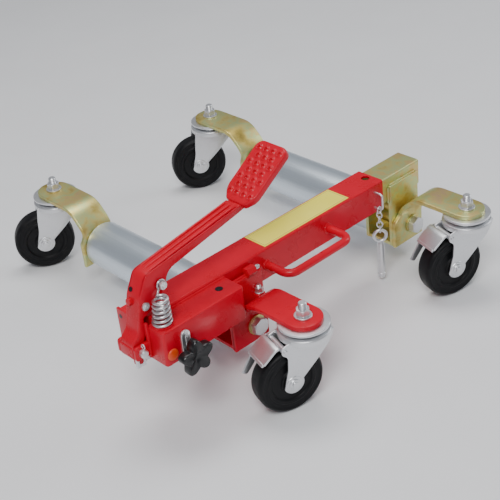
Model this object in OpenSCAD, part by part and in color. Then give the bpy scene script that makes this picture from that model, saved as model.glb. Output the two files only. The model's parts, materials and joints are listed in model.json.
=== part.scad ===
// Self-loading wheel dolly: a telescoping cross tube carries two long rollers between four swivel
// casters, and a foot pedal with a ratchet draws the rollers together under a tyre.
// Millimetres, +Z up. The origin is on the floor, midway between the rollers at rest and at the
// middle of their length. +X runs along the cross tube to its sliding end, +Y along the rollers.

/* [Rollers] */

// Distance between the two roller axes with the dolly closed
closed_pitch = 348; // [338:1:420]
// Outside diameter of each roller
roller_d = 74; // [64:1:80]
// Length of each roller
roller_len = 285; // [240:5:360]
// Wall of the roller tube
roller_wall = 4; // [3:0.5:6]
// Height of the roller axes above the floor
roller_z = 71; // [64:1:76]
// Diameter of the axle bolts
axle_d = 16; // [14:1:20]

/* [Cross tube] */

// Outside width of the square outer tube
tube_w = 50; // [46:1:56]
// Wall of both tubes
tube_wall = 3; // [2.5:0.5:4]
// Clearance between the tubes on each side
slide_gap = 0.5; // [0.4:0.1:1]
// Height of the top face of the outer tube
tube_top = 170; // [168:1:182]
// Outer tube beyond the left roller axis, on the pedal side
tube_left = 178; // [174:1:190]
// Outer tube from the left roller axis to its open end
tube_right = 292; // [285:1:300]
// How far the sliding end stands out of the outer tube when closed
slide_show = 89; // [85:1:120]
// Travel of the sliding end
slide_travel = 230; // [120:10:240]

/* [Brackets] */

// Thickness of the saddle plates
plate_t = 6; // [5:0.5:8]
// Saddle plate on the pedal side of the axle
saddle_left = 41; // [36:1:46]
// Saddle plate on the other side of the axle
saddle_right = 24; // [20:1:30]
// Height of the lower edge of the saddles
saddle_low = 44; // [36:1:48]
// Height of the upper edge of the saddles
saddle_high = 152; // [145:1:160]

/* [Caster arms] */

// Width of the caster arms
arm_w = 54; // [48:1:60]
// Thickness of the caster arms
arm_t = 7; // [6:0.5:9]
// Height of the top face of the caster arms
arm_top = 136; // [134:1:146]
// Height where the upright flange starts to bend outward
bend_z = 106; // [100:1:112]
// Outward run of the sloping part
bend_run = 33; // [26:1:40]
// From the flange's outer face to the swivel axis
arm_reach = 106; // [100:1:130]
// Offset of the front left arm from its axle
shift_fl = -7; // [-9:1:4]
// Offset of the front right arm from its axle
shift_fr = 0; // [-10:1:4]
// Offset of the rear left arm from its axle
shift_rl = -6; // [-10:1:4]
// Offset of the rear right arm from its axle
shift_rr = -9; // [-10:1:4]

/* [Casters] */

// Wheel diameter
wheel_d = 100; // [90:1:104]
// Wheel width
wheel_w = 31; // [26:1:34]
// Distance of the wheel axle behind the swivel axis
trail = 32; // [26:1:38]
// Diameter of the caster stems
stem_d = 12; // [10:1:14]
// Diameter of the wheel axle bolts
spindle_d = 10; // [8:1:12]
// Diameter of the swivel head
head_d = 74; // [64:1:78]
// Yaw of the front casters
front_yaw = -16; // [-40:1:40]
// Yaw of the rear casters
rear_yaw = -29; // [-40:1:40]

/* [Pedal] */

// Pivot of the pedal beyond the left roller axis
pivot_x = 194; // [193:1:200]
// Height of the pedal pivot
pivot_z = 133; // [130:1:138]
// Width of the pedal lever
lever_w = 27; // [24:1:30]
// Plate thickness of the lever
lever_t = 4; // [3:0.5:5]
// Length of the foot pad
pad_len = 98; // [80:2:120]
// Width of the foot pad
pad_w = 57; // [48:1:70]
// Slope of the foot pad
pad_slope = 33; // [25:1:40]
// Diameter of the pedal pivot pin
pivot_d = 12; // [10:1:14]

/* [Ratchet housing] */

// Depth of the housing in front of the outer tube
housing_d = 39; // [37:1:45]
// Height of the housing
housing_h = 52; // [50:1:56]
// Drop of the housing's top below the tube's top
housing_drop = 5; // [2:1:8]
// Right end of the housing before the left roller axis
housing_end = 36; // [36:1:50]
// Wall of the housing
housing_wall = 4; // [3:0.5:5]
// Outer radius of the star knob
knob_r = 30; // [24:1:32]

/* [Carry handle and pin] */

// Diameter of the handle bar
grip_d = 12; // [10:1:14]
// Centre of the handle bar in front of the tube
grip_reach = 46; // [36:1:60]
// Length of the handle between the bar centres of its two legs
grip_len = 125; // [90:5:150]
// Diameter of the lock pin
pin_d = 12; // [10:1:12]
// Shank length of the lock pin
pin_len = 66; // [56:1:68]

/* [Hidden] */
$fn = 64;
run_gap = 0.05;                    // radial running clearance of shafts
fit_gap = 0.2;                     // radial clearance of fixed bolts
part_gap = 0.5;                    // gap between pieces that move past each other
left_x = -closed_pitch / 2;
right_x = closed_pitch / 2;
end_gap = 1.5;                     // roller end to bracket plate
tube_h = tube_w / 2;
inner_w = tube_w - 2 * tube_wall - 2 * slide_gap;
inner_h = inner_w / 2;
left_face = tube_h + plate_t;      // outer faces of the saddle plates from the tube's axis
right_face = inner_h + plate_t;
tube_y = -(left_face + end_gap + roller_len / 2);
tube_z = tube_top - tube_h;
tube_x0 = left_x - tube_left;
tube_x1 = left_x + tube_right;
inner_x1 = tube_x1 + slide_show;
inner_len = inner_x1 - tube_x0 - 18;
pin_hole_x = tube_x1 - 11;
hole_step = (slide_travel - 10) / 4; // spacing of the lock-pin holes in the inner tube
wheel_r = wheel_d / 2;
arm_under = arm_top - arm_t;
race_h = 9;
crown_top = arm_under - race_h - part_gap;
crown_t = 4;
leg_t = 3;
leg_y = wheel_w / 2 + 2;           // inner face of the fork legs
front_y = tube_y - tube_h;         // front face of the outer tube
house_x0 = tube_x0;
house_x1 = left_x - housing_end;
house_z1 = tube_top - housing_drop;
house_z0 = house_z1 - housing_h;
house_y = front_y - housing_d;
piv_x = left_x - pivot_x;
lever_y1 = tube_y - 2.5;           // rear face of the lever
lever_y0 = lever_y1 - lever_w;
end_plate_t = 4;
barrel_r = 10.5;
crank = 17;                        // drop of the crank pin below the pivot
rod_z = pivot_z - crank;
slot_step = 6;
drive_x = left_x - 48;             // drive tooth at rest
pawl_x = drive_x - 6 * slot_step;
pawl_z = rod_z + 13;
tooth_z = [tube_z - 4, tube_z + 2];
knob_x = left_x - 145;
knob_z = 122;
boss_z = saddle_high + 4;           // boss and stop pin above the left saddle
eye_h = 26;
eye_out = 15;
eye_bend = 5;
eye_wire = 1.8;
eye_z = tube_z - 14;               // lower leg of the eye
eye_x = tube_x1 - 19;
link_r = 5.5;
link_wire = 1.1;
link_step = 2 * link_r - 2 * link_wire - 0.3;
links = 5;
link_twist = 13;                   // turn of each link beyond a quarter turn
chain_y = front_y - 8;
link_top = eye_z + eye_wire + 0.3 - link_r + link_wire;
ring_r = 9.5;
ring_wire = 2.6;
ring_z = link_top - (links - 1) * link_step - link_r - ring_r + ring_wire + link_wire + 0.3;
spring_r = 12.4;
spring_wire = 1.8;
spring_x = left_x - 162;
spring_y = lever_y0 - 16;
spring_h = 39;
seat_z = house_z1 + 2.5;
hook_x = left_x - 146;
hook_z = 213;
anchor_x = left_x - 174;
anchor_z = 193;
notch_x = tube_x0 + 10;            // end of the notch that lets the lever swing

red = [0.86, 0.03, 0.09];
gold = [0.80, 0.68, 0.34];
zinc = [0.72, 0.74, 0.76];
alu = [0.80, 0.85, 0.90];
black = [0.06, 0.06, 0.07];
yellow = [0.95, 0.93, 0.52];

// ---- general shapes ----

// Bar along X from x0 to x1, with y and z ranges
module block(x, y, z) {
    translate([x[0], y[0], z[0]])
        cube([x[1] - x[0], y[1] - y[0], z[1] - z[0]]);
}

// Cylinder along Y from y0 to y1
module rod_y(x, z, y, r) {
    translate([x, y[1], z])
        rotate([90, 0, 0])
            cylinder(r = r, h = y[1] - y[0]);
}

// Square outline with round corners, centred
module round_square(w, r) {
    square([w, w - 2 * r], center = true);
    square([w - 2 * r, w], center = true);
    for (sx = [-1, 1], sy = [-1, 1])
        translate([sx * (w / 2 - r), sy * (w / 2 - r)])
            circle(r = r);
}

// Hollow square tube along X
module square_tube(x0, x1, w, wall) {
    translate([x0, tube_y, tube_z])
        rotate([90, 0, 90])
            linear_extrude(x1 - x0)
                difference() {
                    round_square(w, wall);
                    round_square(w - 2 * wall, 1);
                }
}

// Hexagonal head along Y, from y0 toward -Y
module hex_y(x, z, y0, h, flats) {
    translate([x, y0, z])
        rotate([90, 30, 0])
            cylinder(r = flats / sqrt(3), h = h, $fn = 6);
}

// Plate in the XZ plane with a polygon outline, between two y values
module side_plate(points, y) {
    translate([0, y[1], 0])
        rotate([90, 0, 0])
            linear_extrude(y[1] - y[0])
                polygon(points);
}

// ---- cross tube ----

module outer_tube() {
    color(red) {
        difference() {
            square_tube(tube_x0, tube_x1, tube_w, tube_wall);
            translate([pin_hole_x, tube_y, tube_z])
                cylinder(r = pin_d / 2 + 0.5, h = tube_w + 2, center = true);
            // windows for the pawl nose and the drive tooth
            for (x = [pawl_x, drive_x])
                block([x - 9, x + 6], [front_y - 1, front_y + tube_wall + 1],
                      [tooth_z[0] - 3, tooth_z[1] + 3]);
            lever_notch();
        }
    }
}

// Space the lever swings through in the tube, its end plate and the housing
module lever_notch() {
    block([tube_x0 - end_plate_t - 1, notch_x], [lever_y0 - 0.8, lever_y1 + 0.8],
          [pivot_z + 5, tube_top + 10]);
}

module stop_pin() {
    color(zinc)
        translate([left_x + 12, front_y - 7, boss_z])
            rotate([0, 90, 0]) {
                cylinder(r = 3.5, h = 7);
                translate([0, 0, 7])
                    sphere(r = 3.5);
            }
}

module tube_end_plate() {
    lug_r = barrel_r;
    color(red)
        difference() {
            union() {
                block([tube_x0 - end_plate_t, tube_x0], [lever_y0 - 6, tube_y + tube_h + 2],
                      [house_z0 + 4, tube_top + 1]);
                for (y = [lever_y0 - 6, lever_y1 + part_gap]) {
                    block([piv_x, tube_x0 - end_plate_t + 1], [y, y + 5.5],
                          [pivot_z - lug_r, pivot_z + lug_r]);
                    rod_y(piv_x, pivot_z, [y, y + 5.5], lug_r);
                }
            }
            rod_y(piv_x, pivot_z, [lever_y0 - 20, lever_y1 + 20], pivot_d / 2 + fit_gap);
            // slot for the push rod
            block([tube_x0 - 20, tube_x0 + 1], [front_y - 6, front_y - 0.4], [rod_z - 9, rod_z + 4.5]);
            lever_notch();
            // two bolt holes near the rear edge
            for (z = [tube_top - 10, tube_top - 40])
                translate([tube_x0 - 20, tube_y + tube_h - 6, z])
                    rotate([0, 90, 0])
                        cylinder(r = 3.2, h = 40);
        }
}

module carry_handle() {
    corner = 16;
    x0 = left_x + 43;
    z = tube_z - 1;
    y_bar = front_y - grip_reach;
    color(red) {
        for (x = [x0, x0 + grip_len])
            rod_y(x, z, [y_bar + corner, front_y], grip_d / 2);
        translate([x0 + corner, y_bar, z])
            rotate([0, 90, 0])
                cylinder(r = grip_d / 2, h = grip_len - 2 * corner);
        translate([x0 + corner, y_bar + corner, z])
            rotate([0, 0, 180])
                rotate_extrude(angle = 90)
                    translate([corner, 0])
                        circle(r = grip_d / 2, $fn = 48);
        translate([x0 + grip_len - corner, y_bar + corner, z])
            rotate([0, 0, 270])
                rotate_extrude(angle = 90)
                    translate([corner, 0])
                        circle(r = grip_d / 2, $fn = 48);
    }
}

module label_plate() {
    color(yellow)
        block([left_x + 46, left_x + 220], [tube_y - tube_h + 4, tube_y + tube_h - 4],
              [tube_top, tube_top + 0.6]);
}

// Elongated eye welded to the tube: two legs, two bends and an upright
module chain_eye() {
    y_in = front_y - eye_out + eye_bend;
    color(zinc) {
        for (z = [eye_z, eye_z + eye_h])
            rod_y(eye_x, z, [y_in, front_y], eye_wire);
        translate([eye_x, front_y - eye_out, eye_z + eye_bend])
            cylinder(r = eye_wire, h = eye_h - 2 * eye_bend);
        for (k = [0, 1])
            translate([eye_x, y_in, k == 0 ? eye_z + eye_bend : eye_z + eye_h - eye_bend])
                rotate([0, 90, 0])
                    rotate([0, 0, k == 0 ? 270 : 180])
                        rotate_extrude(angle = 90)
                            translate([eye_bend, 0])
                                circle(r = eye_wire, $fn = 32);
    }
}

// ---- saddles, arms, axles ----

// U-shaped bracket under a tube: two side plates, a floor and a stiffener tube
module saddle(x, face) {
    difference() {
        union() {
            for (s = [-1, 1])
                translate([0, s * (face - plate_t / 2), 0])
                    block([x - saddle_left, x + saddle_right],
                          [tube_y - plate_t / 2, tube_y + plate_t / 2], [saddle_low, saddle_high]);
            block([x - saddle_left + 2, x + saddle_right], [tube_y - face + 1, tube_y + face - 1],
                  [saddle_low, saddle_low + plate_t]);
            rod_y(x - 14, roller_z + 28, [tube_y - face + 1, tube_y + face - 1], 8);
            rod_y(x, roller_z, [tube_y - face + 1, tube_y + face - 1], axle_d / 2 + 4.5);
        }
        rod_y(x, roller_z, [tube_y - face - 1, tube_y + face + 1], axle_d / 2 + fit_gap);
    }
}

module left_saddle() {
    color(red) {
        saddle(left_x, left_face);
        // hexagonal boss for the stop pin
        translate([left_x - 4, front_y - 7, boss_z])
            rotate([0, 90, 0])
                cylinder(r = 8, h = 16, $fn = 6);
    }
}

module right_saddle() {
    color(gold)
        saddle(right_x, right_face);
}

// Bent plate arm. u is measured outward from the flange's contact face, x from the axle.
module arm(shift) {
    slope = atan2(arm_top - bend_z, bend_run);
    low_z = bend_z - arm_t * (1 - sin(slope)) / cos(slope);
    low_u = (arm_t + (arm_under - bend_z) * cos(slope)) / sin(slope);
    reach = arm_t + arm_reach;
    difference() {
        union() {
            // upright flange, as wide as the saddle
            translate([-saddle_left, -arm_t, saddle_low])
                cube([saddle_left + saddle_right, arm_t, low_z - saddle_low]);
            // bend, slope and level part
            translate([shift - arm_w / 2, 0, 0])
                rotate([90, 0, 90])
                    mirror([1, 0, 0])
                        linear_extrude(arm_w)
                            polygon([[0, low_z - 8], [0, bend_z], [bend_run, arm_top],
                                     [reach, arm_top], [reach, arm_under], [low_u, arm_under],
                                     [arm_t, low_z], [arm_t, low_z - 8]]);
            translate([shift, -reach, arm_under])
                cylinder(r = arm_w / 2, h = arm_t);
        }
        translate([shift, -reach, arm_under - 1])
            cylinder(r = stem_d / 2 + fit_gap, h = arm_t + 2);
        translate([0, 1, roller_z])
            rotate([90, 0, 0])
                cylinder(r = axle_d / 2 + fit_gap, h = arm_t + 2);
    }
}

module front_left_arm() {
    lug_x = 12;
    lug_y = -7;
    color(red)
        translate([left_x, tube_y - left_face, 0]) {
            arm(shift_fl);
            // small lug under the upright bolt
            translate([lug_x - 7, lug_y - 6, bend_z - 2])
                cube([14, 12, 15]);
        }
}

module arm_bolt() {
    color(zinc)
        translate([left_x + 12, tube_y - left_face - 7, bend_z + 13]) {
            cylinder(r = 6.5, h = 2);
            translate([0, 0, 2])
                cylinder(r = 6, h = 7, $fn = 6);
            translate([0, 0, 9])
                cylinder(r = 3.8, h = 4);
        }
}

module front_right_arm() {
    color(gold)
        translate([right_x, tube_y - right_face, 0])
            arm(shift_fr);
}

// Rear arms bolt to the far ends of the rollers and lean the other way
module rear_arm_at(x, face, shift) {
    translate([x, tube_y + face + 2 * end_gap + roller_len, 0])
        mirror([0, 1, 0])
            arm(shift);
}

module rear_left_arm() {
    color(gold)
        rear_arm_at(left_x, left_face, shift_rl);
}

module rear_right_arm() {
    color(gold)
        rear_arm_at(right_x, right_face, shift_rr);
}

// Axle bolt, washers and nut of one roller. face is the saddle's outer face.
washer_t = 2.5;
washer_r = axle_d * 0.95;
function axle_front(face) = tube_y - face - arm_t;
function axle_rear(face) = tube_y + face + 2 * end_gap + roller_len + arm_t;

module axle_bolt(x, face) {
    y0 = axle_front(face) - washer_t;
    y1 = axle_rear(face) + washer_t;
    rod_y(x, roller_z, [y0, y1 + 17], axle_d / 2);
    hex_y(x, roller_z, y0, 10, axle_d * 1.5);
}

module axle_washers(x, face) {
    for (y = [axle_front(face) - washer_t, axle_rear(face)])
        difference() {
            rod_y(x, roller_z, [y, y + washer_t], washer_r);
            rod_y(x, roller_z, [y - 1, y + washer_t + 1], axle_d / 2 + fit_gap);
        }
}

module axle_nut(x, face) {
    y0 = axle_rear(face) + washer_t;
    difference() {
        hex_y(x, roller_z, y0 + 13, 13, axle_d * 1.5);
        rod_y(x, roller_z, [y0 - 1, y0 + 14], axle_d / 2 + run_gap);
    }
}

module left_axle_bolt() {
    color(zinc)
        axle_bolt(left_x, left_face);
}

module left_axle_washers() {
    color(gold)
        axle_washers(left_x, left_face);
}

module left_axle_nut() {
    color(zinc)
        axle_nut(left_x, left_face);
}

module right_axle_bolt() {
    color(zinc)
        axle_bolt(right_x, right_face);
}

module right_axle_washers() {
    color(gold)
        axle_washers(right_x, right_face);
}

module right_axle_nut() {
    color(zinc)
        axle_nut(right_x, right_face);
}

// ---- rollers ----

plug_len = 22;

module roller(x, face) {
    y0 = tube_y + face + end_gap;
    difference() {
        rod_y(x, roller_z, [y0, y0 + roller_len], roller_d / 2, $fn = 96);
        rod_y(x, roller_z, [y0 - 1, y0 + roller_len + 1], roller_d / 2 - roller_wall, $fn = 96);
    }
}

module roller_bearings(x, face) {
    y0 = tube_y + face + end_gap;
    for (y = [y0 + 0.5, y0 + roller_len - plug_len - 0.5])
        difference() {
            rod_y(x, roller_z, [y, y + plug_len], roller_d / 2 - roller_wall - run_gap, $fn = 96);
            rod_y(x, roller_z, [y - 1, y + plug_len + 1], axle_d / 2 + run_gap);
        }
}

module left_roller() {
    color(alu)
        roller(left_x, left_face);
}

module left_roller_bearings() {
    color(black)
        roller_bearings(left_x, left_face);
}

module right_roller() {
    color(alu)
        roller(right_x, right_face);
}

module right_roller_bearings() {
    color(black)
        roller_bearings(right_x, right_face);
}

// ---- casters ----

front_left = [left_x + shift_fl, tube_y - left_face - arm_t - arm_reach];
front_right = [right_x + shift_fr, tube_y - right_face - arm_t - arm_reach];
rear_left = [left_x + shift_rl, tube_y + left_face + 2 * end_gap + roller_len + arm_t + arm_reach];
rear_right = [right_x + shift_rr, tube_y + right_face + 2 * end_gap + roller_len + arm_t + arm_reach];

module at_caster(spot, yaw) {
    translate([spot[0], spot[1], 0])
        rotate([0, 0, yaw])
            children();
}

// Fixed stem: bolt with washer, nut and a riveted head under the fork crown
module stem(spot) {
    low = crown_top - crown_t - part_gap;
    translate([spot[0], spot[1], 0]) {
        translate([0, 0, low])
            cylinder(r = stem_d / 2, h = arm_top + 22 - low);
        translate([0, 0, low - 3])
            cylinder(r = stem_d / 2 + 5, h = 3);
        translate([0, 0, arm_top])
            cylinder(r = stem_d * 1.05, h = 2.5);
        translate([0, 0, arm_top + 2.5])
            cylinder(r = stem_d * 0.85, h = 10, $fn = 6);
    }
}

// Upper ball race clamped under the arm
module race(spot) {
    translate([spot[0], spot[1], arm_under - race_h])
        difference() {
            union() {
                translate([0, 0, race_h - 3.5])
                    cylinder(r = head_d / 2 - 1, h = 3.5);
                cylinder(r = head_d / 2 - 7, h = race_h);
            }
            translate([0, 0, -1])
                cylinder(r = stem_d / 2 + fit_gap, h = race_h + 2);
        }
}

// Fork in its own frame: swivel axis at the origin, wheel trailing toward -X.
// A braked fork has an ear on each leg for the brake pin.
module fork(braked) {
    r_boss = 15;
    back = braked ? [[-34, crown_top - crown_t], [-46, 112], [-46, 101], [-37, 95]]
                  : [[-34, crown_top - crown_t], [-37, 95]];
    leg = [each back, [-39, 72], [-trail - r_boss, wheel_r], [-trail, wheel_r - 6],
           [-trail + r_boss - 1, wheel_r - 6], [-trail + r_boss + 5, wheel_r + 6], [9, 74], [29, 98],
           [34, crown_top - crown_t]];
    difference() {
        union() {
            translate([0, 0, crown_top - crown_t])
                cylinder(r = head_d / 2, h = crown_t);
            for (y = [-leg_y - leg_t, leg_y]) {
                side_plate(leg, [y, y + leg_t]);
                rod_y(-trail, wheel_r, [y, y + leg_t], r_boss);
            }
        }
        translate([0, 0, crown_top - crown_t - 1])
            cylinder(r = stem_d / 2 + run_gap, h = crown_t + 2);
        rod_y(-trail, wheel_r, [-60, 60], spindle_d / 2 + fit_gap);
        if (braked)
            rod_y(brake_x, brake_z, [-60, 60], brake_pin_r + run_gap);
    }
}

module wheel() {
    hub_r = 17;
    rim_r = wheel_r - 15;
    difference() {
        union() {
            rod_y(-trail, wheel_r, [-wheel_w / 2 + 3, wheel_w / 2 - 3], wheel_r, $fn = 96);
            rod_y(-trail, wheel_r, [-wheel_w / 2, wheel_w / 2], wheel_r - 3, $fn = 96);
        }
        // dished sides between the hub and the tread
        for (y = [[-wheel_w / 2 - 1, -wheel_w / 2 + 5], [wheel_w / 2 - 5, wheel_w / 2 + 1]])
            difference() {
                rod_y(-trail, wheel_r, y, rim_r, $fn = 96);
                rod_y(-trail, wheel_r, [y[0] - 1, y[1] + 1], hub_r);
            }
        rod_y(-trail, wheel_r, [-wheel_w, wheel_w], spindle_d / 2 + run_gap);
    }
}

module spindle() {
    side = leg_y + leg_t;
    rod_y(-trail, wheel_r, [-side - 5, side + 7], spindle_d / 2);
    rod_y(-trail, wheel_r, [-side - 3, -side], spindle_d * 0.8);
    hex_y(-trail, wheel_r, side + 6, 6, spindle_d * 1.6);
}

// Brake pedal: a plate over the tread, hinged behind the crown, with a release finger
brake_x = -41;
brake_z = 106;
brake_pin_r = 3;
module brake() {
    finger_y = leg_y + leg_t + 1.5;
    plate = [[-47.5, 113], [-53, 112], [-72, 96], [-70.6, 93.6], [-52, 109], [-47.5, 110]];
    finger = [[-36, 110], [-47.5, 113], [-58, 110], [-74, 86], [-88, 63], [-80, 60], [-68, 74],
              [-52, 98], [-38, 102]];
    side_plate(plate, [-leg_y, finger_y + 2.5]);
    side_plate(finger, [finger_y, finger_y + 2.5]);
    rod_y(brake_x, brake_z, [-leg_y - leg_t - 2, finger_y + 1], brake_pin_r);
    rod_y(brake_x, brake_z, [-leg_y + 0.5, leg_y - 0.5], brake_pin_r + 1.4);
    // shoe over the tread, joined to the pin
    side_plate([[-41, 108.5], [-52, 111], [-62, 105], [-58, 98.5], [-44, 104]], [-6, 6]);
}

module fl_fork() {
    color(zinc)
        at_caster(front_left, front_yaw)
            fork(true);
}

module fl_wheel() {
    color(black)
        at_caster(front_left, front_yaw)
            wheel();
}

module fl_spindle() {
    color(zinc)
        at_caster(front_left, front_yaw)
            spindle();
}

module fl_brake() {
    color(zinc)
        at_caster(front_left, front_yaw)
            brake();
}

module fr_fork() {
    color(zinc)
        at_caster(front_right, front_yaw)
            fork(true);
}

module fr_wheel() {
    color(black)
        at_caster(front_right, front_yaw)
            wheel();
}

module fr_spindle() {
    color(zinc)
        at_caster(front_right, front_yaw)
            spindle();
}

module fr_brake() {
    color(zinc)
        at_caster(front_right, front_yaw)
            brake();
}

module rl_fork() {
    color(zinc)
        at_caster(rear_left, rear_yaw)
            fork(false);
}

module rl_wheel() {
    color(black)
        at_caster(rear_left, rear_yaw)
            wheel();
}

module rl_spindle() {
    color(zinc)
        at_caster(rear_left, rear_yaw)
            spindle();
}

module rr_fork() {
    color(zinc)
        at_caster(rear_right, rear_yaw)
            fork(false);
}

module rr_wheel() {
    color(black)
        at_caster(rear_right, rear_yaw)
            wheel();
}

module rr_spindle() {
    color(zinc)
        at_caster(rear_right, rear_yaw)
            spindle();
}

module left_caster_stems() {
    color(zinc)
        for (spot = [front_left, rear_left])
            stem(spot);
}

module right_caster_stems() {
    color(zinc)
        for (spot = [front_right, rear_right])
            stem(spot);
}

module left_caster_races() {
    color(zinc)
        for (spot = [front_left, rear_left])
            race(spot);
}

module right_caster_races() {
    color(zinc)
        for (spot = [front_right, rear_right])
            race(spot);
}

// ---- sliding tube ----

module inner_tube() {
    slot_w = 3.4;
    slots = floor((drive_x - (inner_x1 - inner_len) - 4) / slot_step);
    color(gold)
        difference() {
            square_tube(inner_x1 - inner_len, inner_x1, inner_w, tube_wall);
            // one lock-pin hole for the closed setting and more for the open ones
            for (i = [0 : 4])
                translate([pin_hole_x - hole_step * i, tube_y, tube_z])
                    cylinder(r = pin_d / 2 + 0.5, h = tube_w, center = true);
            // ratchet slots in the front wall
            for (i = [0 : slots])
                block([drive_x - slot_step * i - slot_w / 2, drive_x - slot_step * i + slot_w / 2],
                      [tube_y - inner_h - 1, tube_y - inner_h + tube_wall + 1],
                      [tooth_z[0] - 3, tooth_z[1] + 3]);
        }
}

// ---- ratchet housing and what is in it ----

// Cover that is open below and toward the tube
module ratchet_housing() {
    w = housing_wall;
    color(red)
        difference() {
            block([house_x0, house_x1], [house_y, front_y], [house_z0, house_z1]);
            block([house_x0 + w, house_x1 - w], [house_y + w, front_y + 1],
                  [house_z0 - 1, house_z1 - w]);
            // slot for the push rod in the end wall
            block([house_x0 - 1, house_x0 + w + 1], [front_y - 6, front_y + 1],
                  [rod_z - 9, rod_z + 4.5]);
            lever_notch();
            // room for the front plate of the left saddle
            block([left_x - saddle_left - 0.3, house_x1 + 1],
                  [front_y - plate_t - 0.3, front_y + 1], [house_z0 - 1, saddle_high + 0.3]);
            // hole in the top, knob stud and plug holes in the front
            translate([left_x - 61, front_y - 17, house_z1 - w - 1])
                cylinder(r = 5.5, h = w + 2);
            rod_y(knob_x, knob_z, [house_y - 1, house_y + w + 1], 4 + fit_gap);
            rod_y(left_x - 167, 128, [house_y - 1, house_y + w + 1], 6 + fit_gap);
        }
}

module housing_plug() {
    color([0.88, 0.16, 0.05]) {
        rod_y(left_x - 167, 128, [house_y, house_y + 6], 6);
        rod_y(left_x - 167, 128, [house_y - 2.5, house_y], 8.5);
    }
}

module release_tab() {
    color(zinc)
        difference() {
            union() {
                block([knob_x - 6.5, knob_x + 6.5], [house_y - 4, house_y], [knob_z - 12, knob_z + 27]);
                rod_y(knob_x, knob_z + 27, [house_y - 4, house_y], 6.5);
            }
            rod_y(knob_x, knob_z, [house_y - 5, house_y + 1], 4 + fit_gap);
        }
}

module knob_stud() {
    color(zinc) {
        rod_y(knob_x, knob_z, [house_y - 20, house_y + housing_wall + 6], 4);
        hex_y(knob_x, knob_z, house_y + housing_wall + 6, 6, 13);
    }
}

module star_knob() {
    y0 = house_y - 27;
    y1 = house_y - 5;
    color(black)
        difference() {
            union() {
                rod_y(knob_x, knob_z, [y0, y1 - 6], knob_r * 0.56);
                rod_y(knob_x, knob_z, [y1 - 6, y1], 9);
                for (i = [0 : 4])
                    translate([knob_x, 0, knob_z])
                        rotate([0, 72 * i + 18, 0])
                            rod_y(knob_r * 0.72, 0, [y0 + 2, y1 - 7], knob_r * 0.28);
            }
            rod_y(knob_x, knob_z, [house_y - 21, y1 + 1], 4 + run_gap);
        }
}

// Flat rod from the crank pin to an upright with the drive tooth
module push_rod() {
    y = [front_y - 5, front_y - 1];
    color(zinc)
        difference() {
            union() {
                block([piv_x - 7, drive_x + 4], y, [rod_z - 3, rod_z + 3]);
                block([piv_x - 7, piv_x + 7], y, [rod_z - 8, rod_z + 5]);
                block([drive_x - 5, drive_x + 4], y, [rod_z - 3, tooth_z[1] + 2]);
                block([drive_x - 1.4, drive_x + 1.4], [front_y - 2, front_y + tube_wall - 0.2], tooth_z);
            }
            rod_y(piv_x, rod_z, [front_y - 10, front_y], 3.7);
        }
}

module ratchet_pawl() {
    color(zinc)
        difference() {
            union() {
                side_plate([[pawl_x - 5, pawl_z], [pawl_x - 4, tooth_z[1] + 2],
                            [pawl_x + 4, tooth_z[1] + 2], [pawl_x + 5, pawl_z]],
                           [front_y - 5, front_y - 1]);
                rod_y(pawl_x, pawl_z, [front_y - 9, front_y - 1], 7);
                block([pawl_x - 1.4, pawl_x + 1.4], [front_y - 2, front_y + tube_wall - 0.2], tooth_z);
            }
            rod_y(pawl_x, pawl_z, [front_y - 20, front_y + 1], 4 + run_gap);
        }
}

// Shouldered pin on the front wall of the tube
module pawl_pin() {
    color(zinc) {
        rod_y(pawl_x, pawl_z, [front_y - 12, front_y], 4);
        rod_y(pawl_x, pawl_z, [front_y - 12, front_y - 9.5], 6);
    }
}

// ---- pedal ----

// Side view of the lever: barrel, upright, gusset and arm
function lever_outline() = [
    [piv_x - barrel_r, pivot_z], [piv_x - 8, pivot_z + 14], [left_x - 191, pivot_z + 25],
    [left_x - 181, 205], [left_x - 166, 234], [left_x + 2, 260], [left_x + 2, 250.5],
    [left_x - 130, 225], [left_x - 137, 205], [left_x - 150, 192], [left_x - 165, 180.5],
    [left_x - 182, 176], [left_x - 184, pivot_z + 20], [piv_x + barrel_r, pivot_z]];

// Outer skin that joins the two side plates of the lever
function lever_skin() = [
    [left_x - 191, pivot_z + 25], [left_x - 181, 205], [left_x - 166, 234], [left_x + 2, 260],
    [left_x + 2, 260 - lever_t], [left_x - 164, 234 - lever_t], [left_x - 177, 205],
    [left_x - 187, pivot_z + 25]];

module pedal_lever() {
    color(red)
        difference() {
            union() {
                side_plate(lever_outline(), [lever_y0, lever_y0 + lever_t]);
                side_plate(lever_outline(), [lever_y1 - lever_t, lever_y1]);
                side_plate(lever_skin(), [lever_y0, lever_y1]);
                rod_y(piv_x, pivot_z, [lever_y0, lever_y1], barrel_r);
                // crank lug and pin that move the push rod
                block([piv_x - 6, piv_x + 6], [front_y - 0.5, front_y + 4], [rod_z - 5, pivot_z]);
                rod_y(piv_x, rod_z, [front_y - 5.5, front_y], 3);
                // two stiffening ribs along the arm
                for (y = [lever_y0 + 8, lever_y0 + 17])
                    side_plate([[left_x - 160, 234.5], [left_x - 156, 237.2], [left_x - 4, 260.8],
                                [left_x, 259]], [y, y + 3]);
            }
            rod_y(piv_x, pivot_z, [lever_y0 - 1, lever_y1 + 1], pivot_d / 2 + run_gap);
            for (p = [[hook_x, hook_z], [anchor_x, anchor_z]])
                rod_y(p[0], p[1], [lever_y0 - 1, lever_y1 + 1], 4 + fit_gap);
        }
}

// Upper bolt that carries the spring's hook, and the shorter one below it
module hook_bolts() {
    color(zinc)
        for (p = [[hook_x, hook_z, 9], [anchor_x, anchor_z, 3.5]]) {
            rod_y(p[0], p[1], [lever_y0 - p[2], lever_y1 + 4], 4);
            rod_y(p[0], p[1], [lever_y0 - p[2], lever_y0 - p[2] + 3], 5.5);
            hex_y(p[0], p[1], lever_y1 + 5, 5, 11);
        }
}

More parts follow.
